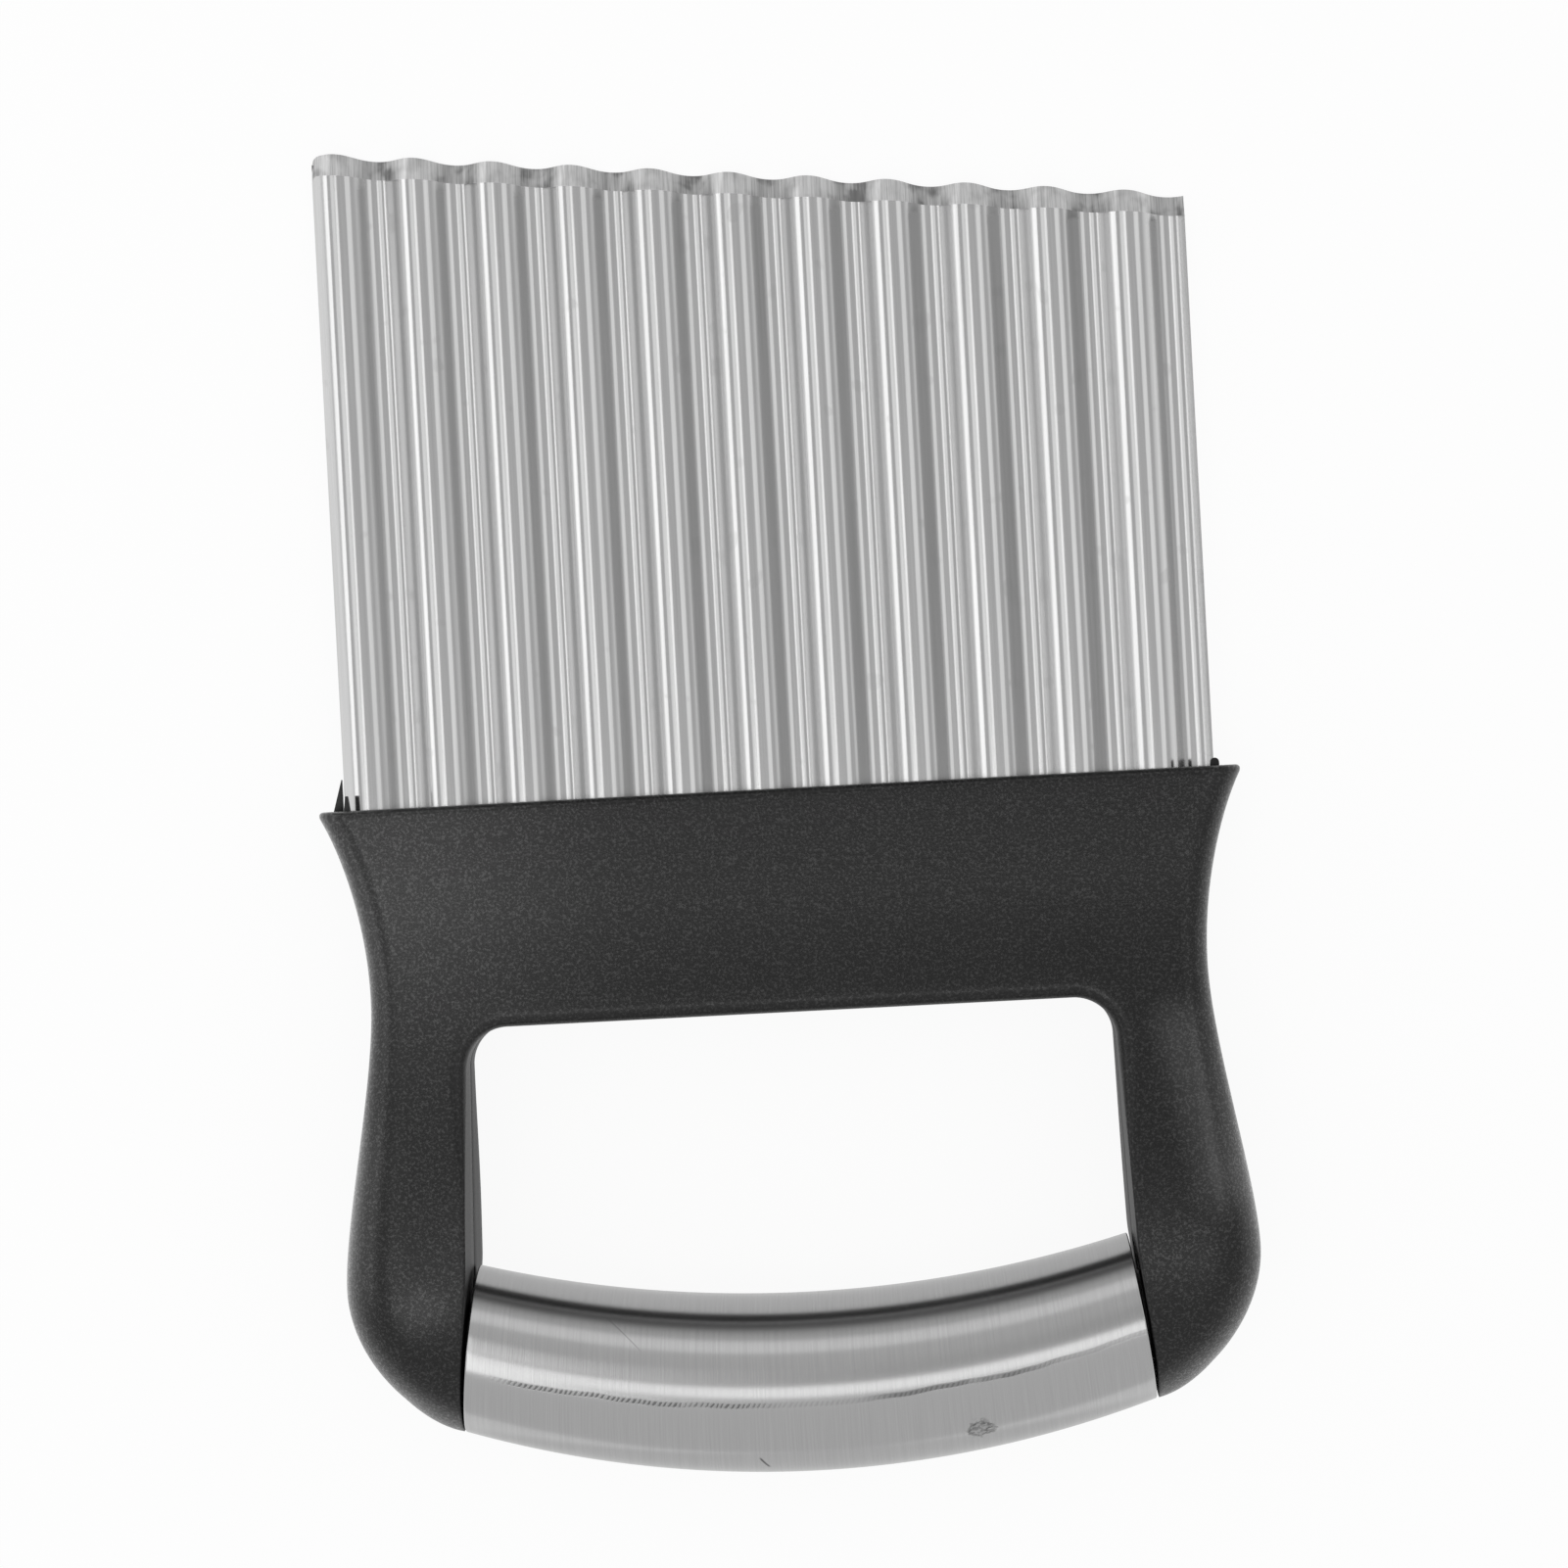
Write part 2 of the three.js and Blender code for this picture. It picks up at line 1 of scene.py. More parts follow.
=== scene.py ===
"""Looks of a crinkle cutter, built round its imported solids.

A corrugated steel blade, a moulded handle in two halves and a bowed steel tube to grip, lying on a white
worktop. Shapes are worked out in the tool's own frame: x across the blade, y towards the cutting edge and z
out of the front, with y = 0 at the mouth of the handle and z = 0 at its parting plane. Each mesh is then laid
down as the tool rests.
"""

import math

import bmesh
import bpy
from bpy.props import FloatProperty, FloatVectorProperty, IntProperty, PointerProperty
from mathutils import Matrix, Vector


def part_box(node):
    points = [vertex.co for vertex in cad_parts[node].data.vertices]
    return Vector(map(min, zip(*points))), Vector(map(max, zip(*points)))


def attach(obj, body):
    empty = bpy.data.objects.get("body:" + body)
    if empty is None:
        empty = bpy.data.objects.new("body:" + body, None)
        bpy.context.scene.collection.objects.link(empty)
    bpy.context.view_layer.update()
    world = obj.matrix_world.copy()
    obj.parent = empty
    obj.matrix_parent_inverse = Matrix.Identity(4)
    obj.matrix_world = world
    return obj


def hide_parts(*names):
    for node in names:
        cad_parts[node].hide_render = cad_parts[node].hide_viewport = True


bl_info = {
    "name": "Crinkle Cutter",
    "version": (1, 0, 0),
    "blender": (4, 5, 0),
    "location": "View3D > Sidebar > Cutter",
    "description": "Dresses the solids of a crinkle cutter with fine shapes and finishes",
    "category": "Object",
}

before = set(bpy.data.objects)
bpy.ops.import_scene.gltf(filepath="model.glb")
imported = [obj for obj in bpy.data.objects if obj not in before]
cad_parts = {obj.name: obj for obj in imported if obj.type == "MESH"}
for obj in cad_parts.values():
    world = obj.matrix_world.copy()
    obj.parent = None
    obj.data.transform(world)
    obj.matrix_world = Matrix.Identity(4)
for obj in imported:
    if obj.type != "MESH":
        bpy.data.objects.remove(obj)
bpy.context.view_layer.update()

MM = 0.001
BODY = "root"

# How the tool lies: turned onto its arms and the left end of its cutting edge, on a worktop at z = 0
REST_TILT = math.radians(3.799317)
REST_PLACE = Vector((0, 1.461875 * MM, 7.287055 * MM))
LAID_DOWN = Matrix.Translation(REST_PLACE) @ Matrix.Rotation(-REST_TILT, 4, "X")

# Clearances
FIT = 0.3 * MM
TANG_CLEARANCE = 0.4 * MM
PART_GAP = 0.3 * MM
TUBE_END_GAP = 0.3 * MM
TUBE_TOP_GAP = 0.65 * MM

# Small measures: what keeps two levels apart, where the mouth's edge ends, and how near points are merged
SLIVER = FIT / 10
MOUTH_EDGE = -0.01 * FIT
WELD = 0.0005 * MM

# Searches halve their range this often, and edges sharper than these angles stay sharp
HALVINGS = 40
SHARP_EDGE = math.radians(38)
SHARP_BLADE_EDGE = math.radians(11)

# How far each stretch of the handle's outline keeps the direction of its ends, as a share of the stretch
FLARE_PULL = (0.51, 0.2)
WAIST_PULL_UP = 0.4
WAIST_PULL_DOWN = 0.29
BULGE_PULL_UP = 0.23
BULGE_PULL_DOWN = 0.47
TIP_PULL = (0.43, 0.052)

# Names of what the meshes carry for their finishes
GRAIN = "grain"
BEVEL = "bevel"
WRAP = "wrap"


def length(name, description, millimetres):
    """A size in millimetres, as a property with a length unit."""
    return FloatProperty(
        name=name, description=description, default=millimetres * MM, min=0, unit="LENGTH", precision=5
    )


def slant(name, description, degrees):
    """An angle in degrees, as a property with an angle unit."""
    return FloatProperty(
        name=name, description=description, default=math.radians(degrees), subtype="ANGLE"
    )


def tint(name, description, level):
    """A neutral colour, as a property with a colour picker."""
    return FloatVectorProperty(
        name=name, description=description, default=(level,) * 3, min=0, max=1, size=3, subtype="COLOR"
    )


class BladeSettings(bpy.types.PropertyGroup):
    """Sizes and colours of the corrugated blade."""

    width: length("Width", "Across the waves", (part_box("blade")[1].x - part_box("blade")[0].x) / MM)
    wave_pitch: length("Wave pitch", "From ridge to ridge", 10)
    wave_depth: length("Wave depth", "Crest to crest at the middle of the sheet", 2.8)
    wave_round: FloatProperty(
        name="Wave fullness",
        description="How much fuller the ridges are than a sine's",
        default=0.025,
        subtype="FACTOR",
    )
    first_ridge: length("First ridge", "From the left end to the first front ridge", 3.2)
    sheet: length("Sheet", "Thickness of the sheet", 0.8)
    reach_left: length("Left reach", "Mouth to cutting edge at the left end", 83.7)
    reach_right: length("Right reach", "Mouth to cutting edge at the right end", 72.5)
    bevel_height: length("Bevel", "Height of the ground bevel", 2.8)
    edge_land: length("Edge land", "What grinding leaves of the sheet at the edge", 0.15)
    edge_scallop: length("Scallop", "How far the edge falls back in the valleys", 0.35)
    corner_round: length("Corner", "Rounding of the left end of the edge", 1)
    tang_depth: length("Tang", "How deep the blade goes into the handle", 18)
    tang_shoulder: length("Shoulder", "Depth of the blade's ends in the handle", 4.7)
    tang_half: length("Half tang", "Half the width of the tang", 43.65)
    wave_steps: IntProperty(name="Steps", description="Facets along one wave", default=64, min=16, max=96)
    steel: tint("Steel", "Colour of the rolled sheet", 0.67)
    ground_steel: tint("Ground steel", "Colour of the bevel", 0.68)


class HandleSettings(bpy.types.PropertyGroup):
    """Sizes and colours of the moulded handle."""

    wall: length("Wall", "Thickness of the moulding", 2.4)
    cheek: length("Cheek", "Plastic past each end of the blade", 3.7)
    mouth_round: length("Mouth rounding", "Rounding round the mouth", 1)
    lip_depth: length("Lip depth", "How deep the wavy lips grip the blade", 5)
    plate_height: length("Plate height", "Mouth to finger opening", 28.2)
    plate_flat: length("Flat", "Flat part of the plate below the mouth", 14)
    waist_drop: length("Waist drop", "Mouth to the narrowest place", 25)
    opening_width: length("Opening width", "Finger opening at its top", 81.9)
    opening_corner: length("Opening corner", "Rounding of the opening's corners", 5.3)
    opening_round: length("Opening rim", "Rounded rim along the top of the opening", 2)
    opening_spread: length("Opening spread", "What each side wall gains down to the tube", 0.85)
    arm_waist: length("Arm waist", "Width of an arm at the waist", 12.1)
    arm_bulge: length("Arm bulge", "Width of an arm at its widest", 15.8)
    arm_proud: length("Arm depth", "How far the arms stand out past the tube's ends", 0.8)
    bulge_rise: length("Bulge rise", "Widest place of an arm above the tube's end", 8.5)
    side_round_plate: length("Plate sides", "Rounding of the plate's sides", 4.4)
    side_round_arm: length("Arm sides", "Rounding of the arms' sides", 7.4)
    rim_low: length("Low rim", "Rounding of the arms' inner edges near the tube", 0.35)
    plastic: tint("Plastic", "Colour of the moulding", 0.002)
    worn_plastic: tint("Grain tops", "Colour of the tops of the grain", 0.014)
    # Painted sheen: a lighter grain colour where highlights fall on the handle
    painted_sheen_plastic: tint("Polished", "Colour of the grain where the hand polishes it", 0.05)


class GripSettings(bpy.types.PropertyGroup):
    """Sizes of the grip tube, and colours of the tube and its core."""

    drop: length("Drop", "Mouth to the middle of a tube end", 69)
    sag: length("Sag", "How far the tube bows away from the blade", 6.3)
    end_diameter: length("End diameter", "Tube at its ends", 20.8)
    middle_diameter: length("Middle diameter", "Tube at its middle", 22.5)
    wall: length("Tube wall", "Thickness of the tube", 0.8)
    end_lean: slant("End lean", "Lean of the arms' faces at the tube", 6.2)
    steel: tint("Steel", "Colour of the brushed tube", 0.54)
    core: tint("Core", "Colour of the moulding inside the tube", 0.012)


class StageSettings(bpy.types.PropertyGroup):
    """Camera and floor."""

    distance: length("Camera distance", "From the tool", 520)
    yaw: slant("Yaw", "Camera's way round to the right", 1.4)
    pitch: slant("Pitch", "Camera's way round to the blade", 0)
    roll: slant("Roll", "Turn of the tool in the picture", 3.03)
    floor: tint("Floor", "Colour of the worktop", 0.95)


def bezier_at(points, share):
    """Point of a cubic curve, given by four points, at a share of its way."""
    rest = 1 - share
    weights = (rest**3, 3 * rest**2 * share, 3 * rest * share**2, share**3)
    return sum((p * w for p, w in zip(points, weights)), Vector((0, 0)))


def part_way(start, end, share_x, share_y):
    """Point part of the way from one point to another, by a share for x and one for y."""
    return Vector((start.x + (end.x - start.x) * share_x, start.y + (end.y - start.y) * share_y))


def mixed(low, high, share):
    return low + (high - low) * share


def smooth_step(value, low, high):
    share = min(max((value - low) / (high - low), 0), 1)
    return share * share * (3 - 2 * share)


class ToolForm:
    """The tool's outside as functions of place, from its sizes."""

    def __init__(self, scene):
        self.blade = blade = scene.cutter_blade
        self.handle = handle = scene.cutter_handle
        self.grip = grip = scene.cutter_grip
        self.ridge_x = -blade.width / 2 + blade.first_ridge
        self.slot_half = blade.sheet / 2 + FIT
        self.slot_end = blade.width / 2 + FIT
        self.plate_half = blade.wave_depth / 2 + blade.sheet / 2 + TANG_CLEARANCE + handle.wall
        self.arm_half = grip.end_diameter / 2 + handle.arm_proud
        self.grip_y = -grip.drop
        self.tube_top_y = self.grip_y + grip.end_diameter / 2
        self.opening_half = handle.opening_width / 2
        self.corner_end_y = -handle.plate_height - handle.opening_corner
        self.wall_at_tube = self.opening_half + handle.opening_spread
        self.bulge_y = self.grip_y + handle.bulge_rise
        tip_y = self.grip_y - grip.end_diameter / 2 - FIT / 2
        self.dome_end = tip_y - FIT
        mouth = Vector((blade.width / 2 + handle.cheek, 0))
        waist = Vector((self.opening_half + handle.arm_waist, -handle.waist_drop))
        bulge = Vector((self.wall_at_tube + handle.arm_bulge, self.bulge_y))
        tip = Vector((self.wall_x(tip_y) - FIT, tip_y))
        self.outline = (
            (mouth, part_way(mouth, waist, *FLARE_PULL), part_way(waist, mouth, 0, WAIST_PULL_UP), waist),
            (
                waist,
                part_way(waist, bulge, 0, WAIST_PULL_DOWN),
                part_way(bulge, waist, 0, BULGE_PULL_UP),
                bulge,
            ),
            (bulge, part_way(bulge, tip, 0, BULGE_PULL_DOWN), part_way(tip, bulge, *TIP_PULL), tip),
        )
        self.tube_half = self.wall_x(self.grip_y) - (TUBE_END_GAP + TUBE_TOP_GAP) / 2
        self.bow_radius = (self.tube_half**2 + grip.sag**2) / (2 * grip.sag)
        self.bow_centre = self.grip_y - grip.sag + self.bow_radius
        self.bow_end = math.asin(self.tube_half / self.bow_radius)
        self.tube_lean = grip.end_lean + math.atan2(TUBE_TOP_GAP - TUBE_END_GAP, grip.end_diameter)

    def wave(self, x):
        """Height of the middle of the sheet, and its slope."""
        blade = self.blade
        angle = 2 * math.pi * (x - self.ridge_x) / blade.wave_pitch
        rise = (1 + blade.wave_round) * math.cos(angle) - blade.wave_round * math.cos(3 * angle)
        fall = (1 + blade.wave_round) * math.sin(angle) - 3 * blade.wave_round * math.sin(3 * angle)
        return blade.wave_depth / 2 * rise, -math.pi * blade.wave_depth / blade.wave_pitch * fall

    def wall_x(self, y):
        """Inner face of the right arm: a straight side of the opening, then the leaning face at the tube."""
        if y > self.tube_top_y:
            share = (self.corner_end_y - y) / (self.corner_end_y - self.tube_top_y)
            return self.opening_half + self.handle.opening_spread * share
        return self.wall_at_tube + math.tan(self.grip.end_lean) * (self.tube_top_y - y)

    def half_width(self, y):
        """Outline of the handle at a height, found on its curves by halving."""
        curve = next((c for c in self.outline if c[3].y <= y), self.outline[-1])
        low, high = 0.0, 1.0
        for _ in range(HALVINGS):
            middle = (low + high) / 2
            if bezier_at(curve, middle).y > y:
                low = middle
            else:
                high = middle
        return bezier_at(curve, (low + high) / 2).x

    def half_depth(self, y):
        """Flat plate, swelling arms, domed ends."""
        if y > self.bulge_y:
            swell = smooth_step(-y, self.handle.plate_flat, -self.bulge_y)
            return mixed(self.plate_half, self.arm_half, swell)
        drop = min((self.bulge_y - y) / (self.bulge_y - self.dome_end), 1)
        return self.arm_half * math.sqrt(1 - drop * drop)

    def side_round(self, y):
        grown = smooth_step(-y, self.handle.waist_drop, -self.bulge_y)
        return mixed(self.handle.side_round_plate, self.handle.side_round_arm, grown)

    def mouth_inset(self, y):
        """How far the rounding of the mouth draws the handle in at a height."""
        up = min(max(1 + y / self.handle.mouth_round, 0), 1)
        return self.handle.mouth_round * (1 - math.sqrt(1 - up * up))

    def face(self, x, y):
        """Height of the handle's outside over the parting plane."""
        inset = self.mouth_inset(y)
        width = self.half_width(y) - inset
        depth = self.half_depth(y) - inset
        round_x = max(self.side_round(y) - inset, FIT)
        round_z = min(round_x, depth - FIT / 2)
        over = min(max((abs(x) - width + round_x) / round_x, 0), 1)
        return depth - round_z + round_z * math.sqrt(1 - over * over)

    def opening_rim(self, y):
        """Rounding of the opening's edge: full along its top, and fading down the arms."""
        fade = smooth_step(-y, -self.corner_end_y, -self.corner_end_y + RIM_FADE)
        return mixed(self.handle.opening_round, self.handle.rim_low, fade)

    def lip_level(self, x, y, side):
        """Lower edge of a half's outside: its lip along the blade, or the parting plane."""
        if y > MOUTH_EDGE and abs(x) <= self.slot_end:
            height, slope = self.wave(x)
            return side * height + self.slot_half * math.hypot(1, slope)
        return PART_GAP / 2


# Mesh of the handle: fade of the opening's rim, spacing and counts of columns and rows, small roundings
RIM_FADE = 18 * MM
LIP_STEP = 0.32 * MM
CORNER_STEPS = 9
SIDE_STEP = 0.9 * MM
ARM_STEPS = 64
ROUND_ROWS = 14
FACE_ROWS = 14
RIM_ROWS = 8
WALL_ROWS = 3
PART_EDGE = 0.22 * MM
TIP_WIDTH = 0.25 * MM
EASE = 1 - math.sqrt(0.5)

# Most that an edge, a rim or wall, and a side's rounding take of what is there
EDGE_SHARE = 0.4
WALL_SHARE = 0.3
ROUND_SHARE = 0.8
# Least slant of a column, so that what is measured across it stays finite
LEAST_SLANT = 0.3
# How strong the grain is on the lips, at the opening's rim and on its walls
LIP_GRAIN = 0.25
RIM_GRAIN = 0.2
WALL_GRAIN = 0.1


def right_columns(form):
    """Lines across the right half of the handle, each from its outer edge to the opening's edge.

    They start at the middle of the plate, turn round the corner of the opening and go down the arm.
    """
    handle = form.handle
    top_y = -handle.plate_height
    straight = form.opening_half - handle.opening_corner
    steps = round(straight / LIP_STEP)
    columns = []
    for k in range(steps):
        x = straight * k / steps
        columns.append((Vector((x, 0)), Vector((x, top_y))))

    mouth_end = form.half_width(0) - handle.mouth_round
    edge = [Vector((straight, 0))]
    for start, end, first in ((straight, form.slot_end, 1), (form.slot_end + SLIVER, mouth_end, 0)):
        count = round((end - start) / LIP_STEP)
        edge += [Vector((mixed(start, end, k / count), 0)) for k in range(first, count + 1)]
    for k in range(1, CORNER_STEPS + 1):
        y = handle.mouth_round * (math.cos(k / CORNER_STEPS * math.pi / 2) - 1)
        edge.append(Vector((form.half_width(y) - form.mouth_inset(y), y)))
    count = round((-handle.mouth_round - form.corner_end_y) / SIDE_STEP)
    for k in range(1, count + 1):
        y = mixed(-handle.mouth_round, form.corner_end_y, k / count)
        edge.append(Vector((form.half_width(y), y)))
    run = [0.0]
    for before, point in zip(edge, edge[1:]):
        run.append(run[-1] + (point - before).length)
    for point, way in zip(edge, run):
        turn = way / run[-1] * math.pi / 2
        inner = Vector((math.sin(turn), math.cos(turn))) * handle.opening_corner
        columns.append((point, inner + Vector((straight, form.corner_end_y))))

    low, high = form.dome_end, form.bulge_y
    for _ in range(HALVINGS):
        tip_y = (low + high) / 2
        if form.half_width(tip_y) - form.wall_x(tip_y) > TIP_WIDTH:
            high = tip_y
        else:
            low = tip_y
    for k in range(1, ARM_STEPS + 1):
        y = mixed(form.corner_end_y, tip_y, math.sin(k / ARM_STEPS * math.pi / 2))
        columns.append((Vector((form.half_width(y), y)), Vector((form.wall_x(y), y))))
    return columns


def shell_section(form, outer, inner, side):
    """One closed section of a half along a column: x, y, z and grain, with z out of that half's face."""
    span = inner - outer
    inward = span.normalized()
    on_mouth = outer.y > MOUTH_EDGE
    low = form.lip_level(outer.x, outer.y, side)
    top = form.face(outer.x, outer.y)
    edge = min(PART_EDGE, (top - low) * EDGE_SHARE)
    part = PART_GAP / 2
    rim = min(form.opening_rim(inner.y), span.length * WALL_SHARE)
    wall = min(form.handle.wall, span.length * WALL_SHARE)
    rows = []

    def row(offset, z, grain):
        place = outer + inward * offset
        rows.append((place.x, place.y, z, grain))

    def face(offset):
        place = outer + inward * offset
        short = max(rim - (span.length - offset), 0)
        return form.face(place.x, place.y) - rim + math.sqrt(max(rim * rim - short * short, 0))

    lip_grain = LIP_GRAIN if on_mouth else 1
    row(edge, low, lip_grain)
    row(edge * EASE, low + edge * EASE, lip_grain)
    for share in (0, 0.5, 1):
        row(0, mixed(low + edge, top, share), lip_grain)

    if on_mouth:
        side_round = form.handle.side_round_plate
        near_side = smooth_step(abs(outer.x), form.slot_end - 2 * side_round, form.half_width(0))
        reach = mixed(form.handle.mouth_round, side_round, near_side) / max(-inward.y, LEAST_SLANT)
    else:
        reach = form.side_round(outer.y) / max(abs(inward.x), LEAST_SLANT)
    reach = min(reach, (span.length - rim) * ROUND_SHARE)
    for k in range(1, ROUND_ROWS + 1):
        offset = reach * (1 - math.cos(k / ROUND_ROWS * math.pi / 2))
        row(offset, face(offset), 1)
    for k in range(1, FACE_ROWS):
        offset = mixed(reach, span.length - rim, k / FACE_ROWS)
        row(offset, face(offset), 1)
    for k in range(RIM_ROWS + 1):
        turn = k / RIM_ROWS * math.pi / 2
        offset = span.length - rim * (1 - math.sin(turn))
        row(offset, face(offset), mixed(1, RIM_GRAIN, k / RIM_ROWS))

    sill = face(span.length)
    for k in range(1, WALL_ROWS + 1):
        row(span.length, mixed(sill, part + PART_EDGE, k / WALL_ROWS), WALL_GRAIN)
    row(span.length - PART_EDGE * EASE, part + PART_EDGE * EASE, WALL_GRAIN)
    row(span.length - PART_EDGE, part, WALL_GRAIN)

    depth = wall
    if on_mouth and abs(outer.x) <= form.slot_end:
        depth = form.handle.lip_depth / max(-inward.y, LEAST_SLANT)
    roof_out = max(face(depth) - form.handle.wall, low + SLIVER)
    roof_in = max(face(span.length - wall) - form.handle.wall, part + SLIVER)
    row(span.length - wall, part, 0)
    row(span.length - wall, roof_in, 0)
    row(depth, roof_out, 0)
    row(depth, low, 0)
    return rows


def shell_mesh(name, form, side):
    """Closed mesh of one half of the handle. Side is 1 for the front and -1 for the rear."""
    right = right_columns(form)
    flip = Vector((-1, 1))
    columns = [(outer * flip, inner * flip) for outer, inner in reversed(right[1:])] + right
    sections = [shell_section(form, outer, inner, side) for outer, inner in columns]
    count = len(sections[0])
    points = [(x, y, z * side) for section in sections for x, y, z, _ in section]
    faces = [tuple(range(count)), tuple(range((len(sections) - 1) * count, len(sections) * count))]
    for c in range(len(sections) - 1):
        for r in range(count):
            a = c * count + r
            b = c * count + (r + 1) % count
            faces.append((a, b, b + count, a + count))
    mesh = bpy.data.meshes.new(name)
    mesh.from_pydata(points, [], faces)
    grain = mesh.attributes.new(GRAIN, "FLOAT", "POINT")
    grain.data.foreach_set("value", [g for section in sections for _, _, _, g in section])
    return mesh


def ear_mesh(name, outline, z_low, z_high, rounding):
    """A small rounded upright with a given outline, from one level to another."""
    form = bmesh.new()
    rings = [[form.verts.new((x, y, z)) for x, y in outline] for z in (z_low, z_high)]
    form.faces.new(rings[0])
    form.faces.new(rings[1])
    for k in range(len(outline)):
        j = (k + 1) % len(outline)
        form.faces.new((rings[0][k], rings[0][j], rings[1][j], rings[1][k]))
    bmesh.ops.recalc_face_normals(form, faces=form.faces)
    bmesh.ops.bevel(form, geom=form.edges[:], offset=rounding, segments=3, profile=0.5, affect="EDGES")
    mesh = bpy.data.meshes.new(name)
    form.to_mesh(mesh)
    form.free()
    return mesh


def settle(mesh, sharp=SHARP_EDGE):
    """Merges doubles, turns the faces outwards, lays the mesh down as the tool rests and shades it."""
    form = bmesh.new()
    form.from_mesh(mesh)
    bmesh.ops.remove_doubles(form, verts=form.verts, dist=WELD)
    bmesh.ops.recalc_face_normals(form, faces=form.faces)
    form.to_mesh(mesh)
    form.free()
    mesh.transform(LAID_DOWN)
    mesh.shade_smooth()
    mesh.set_sharp_from_angle(angle=sharp)
    mesh.update()


def joined(mesh, others):
    """Adds other meshes to a mesh, each as it lies."""
    form = bmesh.new()
    form.from_mesh(mesh)
    for other in others:
        form.from_mesh(other)
        bpy.data.meshes.remove(other)
    form.to_mesh(mesh)
    form.free()


def add_piece(name, mesh, material, node):
    """Puts a finished mesh in the scene in place of a solid."""
    piece = bpy.data.objects.new(name, mesh)
    bpy.context.scene.collection.objects.link(piece)
    mesh.materials.clear()
    mesh.materials.append(material)
    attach(piece, BODY)
    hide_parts(node)


class Wire:
    """A socket in a node tree. Arithmetic on it adds Math nodes to its tree."""

    def __init__(self, net, socket):
        self.net = net
        self.socket = socket

    def __add__(self, other):
        return self.net.math("ADD", self, other)

    def __radd__(self, other):
        return self.net.math("ADD", other, self)

    def __sub__(self, other):
        return self.net.math("SUBTRACT", self, other)

    def __rsub__(self, other):
        return self.net.math("SUBTRACT", other, self)

    def __mul__(self, other):
        return self.net.math("MULTIPLY", self, other)

    def __rmul__(self, other):
        return self.net.math("MULTIPLY", other, self)

    def __truediv__(self, other):
        return self.net.math("DIVIDE", self, other)

    def __rtruediv__(self, other):
        return self.net.math("DIVIDE", other, self)

    def __neg__(self):
        return self.net.math("MULTIPLY", self, -1.0)

    def clamped(self):
        return self.net.math("ADD", self, 0.0, clamp=True)


class Net:
    """A node tree being built."""

    def __init__(self, tree):
        self.tree = tree
        tree.nodes.clear()

    def node(self, kind, settings=None, sockets=None, out=0):
        """Adds a node, its settings first, then its sockets' values or links, and gives an output of it."""
        node = self.tree.nodes.new(kind)
        for name, value in (settings or {}).items():
            if name == "stops":
                ramp = node.color_ramp
                while len(ramp.elements) < len(value):
                    ramp.elements.new(0.5)
                for element, (position, level) in zip(ramp.elements, value):
                    element.position = position
                    element.color = (level, level, level, 1)
            else:
                setattr(node, name, value)
        for key, value in (sockets or {}).items():
            if isinstance(value, Wire):
                self.tree.links.new(value.socket, node.inputs[key])
            else:
                node.inputs[key].default_value = value
        return Wire(self, node.outputs[out]) if len(node.outputs) else node

    def math(self, operation, *values, clamp=False):
        settings = {"operation": operation, "use_clamp": clamp}
        return self.node("ShaderNodeMath", settings, dict(enumerate(values)))

    def step_between(self, value, low, high):
        """0 below low, 1 above high, eased between."""
        return self.node(
            "ShaderNodeMapRange",
            {"interpolation_type": "SMOOTHSTEP"},
            {"Value": value, "From Min": low, "From Max": high},
        )

    def parts(self, vector):
        split = self.node("ShaderNodeSeparateXYZ", None, {0: vector}).socket.node
        return [Wire(self, socket) for socket in split.outputs]

    def vector(self, x, y, z):
        return self.node("ShaderNodeCombineXYZ", None, {"X": x, "Y": y, "Z": z})

    def noise(self, vector, scale, detail, roughness):
        """A pattern with a scale in waves a metre, about 0.5 on the whole."""
        sockets = {"Vector": vector, "Scale": scale, "Detail": detail, "Roughness": roughness}
        return self.node("ShaderNodeTexNoise", {"noise_dimensions": "3D"}, sockets, "Fac")

    def streaks(self, vector, scale, detail, roughness):
        """A pattern drawn out by its own scale along each axis."""
        sockets = {"Vector": vector, "Scale": scale}
        drawn = self.node("ShaderNodeMapping", {"vector_type": "POINT"}, sockets)
        return self.noise(drawn, 1.0, detail, roughness)

    def shade(self, low, high, share):
        """A colour between two, by a share."""
        ends = [c if isinstance(c, Wire) else (*c, 1) for c in (low, high)]
        return self.node("ShaderNodeMix", {"data_type": "RGBA"}, {0: share, 6: ends[0], 7: ends[1]}, 2)

    def distance(self, vector, place):
        sockets = {0: vector, 1: place}
        return self.node("ShaderNodeVectorMath", {"operation": "DISTANCE"}, sockets, "Value")

    def near(self, vector, middle, radius):
        """1 at a place, fading to 0 at a radius about it."""
        return 1 - self.step_between(self.distance(vector, middle), 0.0, radius)

    def bump(self, height, distance):
        sockets = {"Strength": 1.0, "Distance": distance, "Height": height}
        return self.node("ShaderNodeBump", None, sockets, "Normal")


def material_net(name):
    material = bpy.data.materials.new(name)
    material.use_nodes = True
    return material, Net(material.node_tree)


def finish_material(net, shader):
    net.node("ShaderNodeOutputMaterial", None, {"Surface": shader})


def finish_surface(net, sockets):
    """Ends a material with a Principled shader that has these values or links."""
    finish_material(net, net.node("ShaderNodeBsdfPrincipled", None, sockets))


def scaled(colour, share):
    """A colour made darker or lighter by a share."""
    return tuple(level * share for level in colour)


# Scratched places on the right arm: middle in the tool's own frame, and radius
RUBBED = (
    (Vector((47.9, -60.3, 9.5)) * MM, 3.2 * MM),
    (Vector((43.6, -63.7, 10.8)) * MM, 2.4 * MM),
)
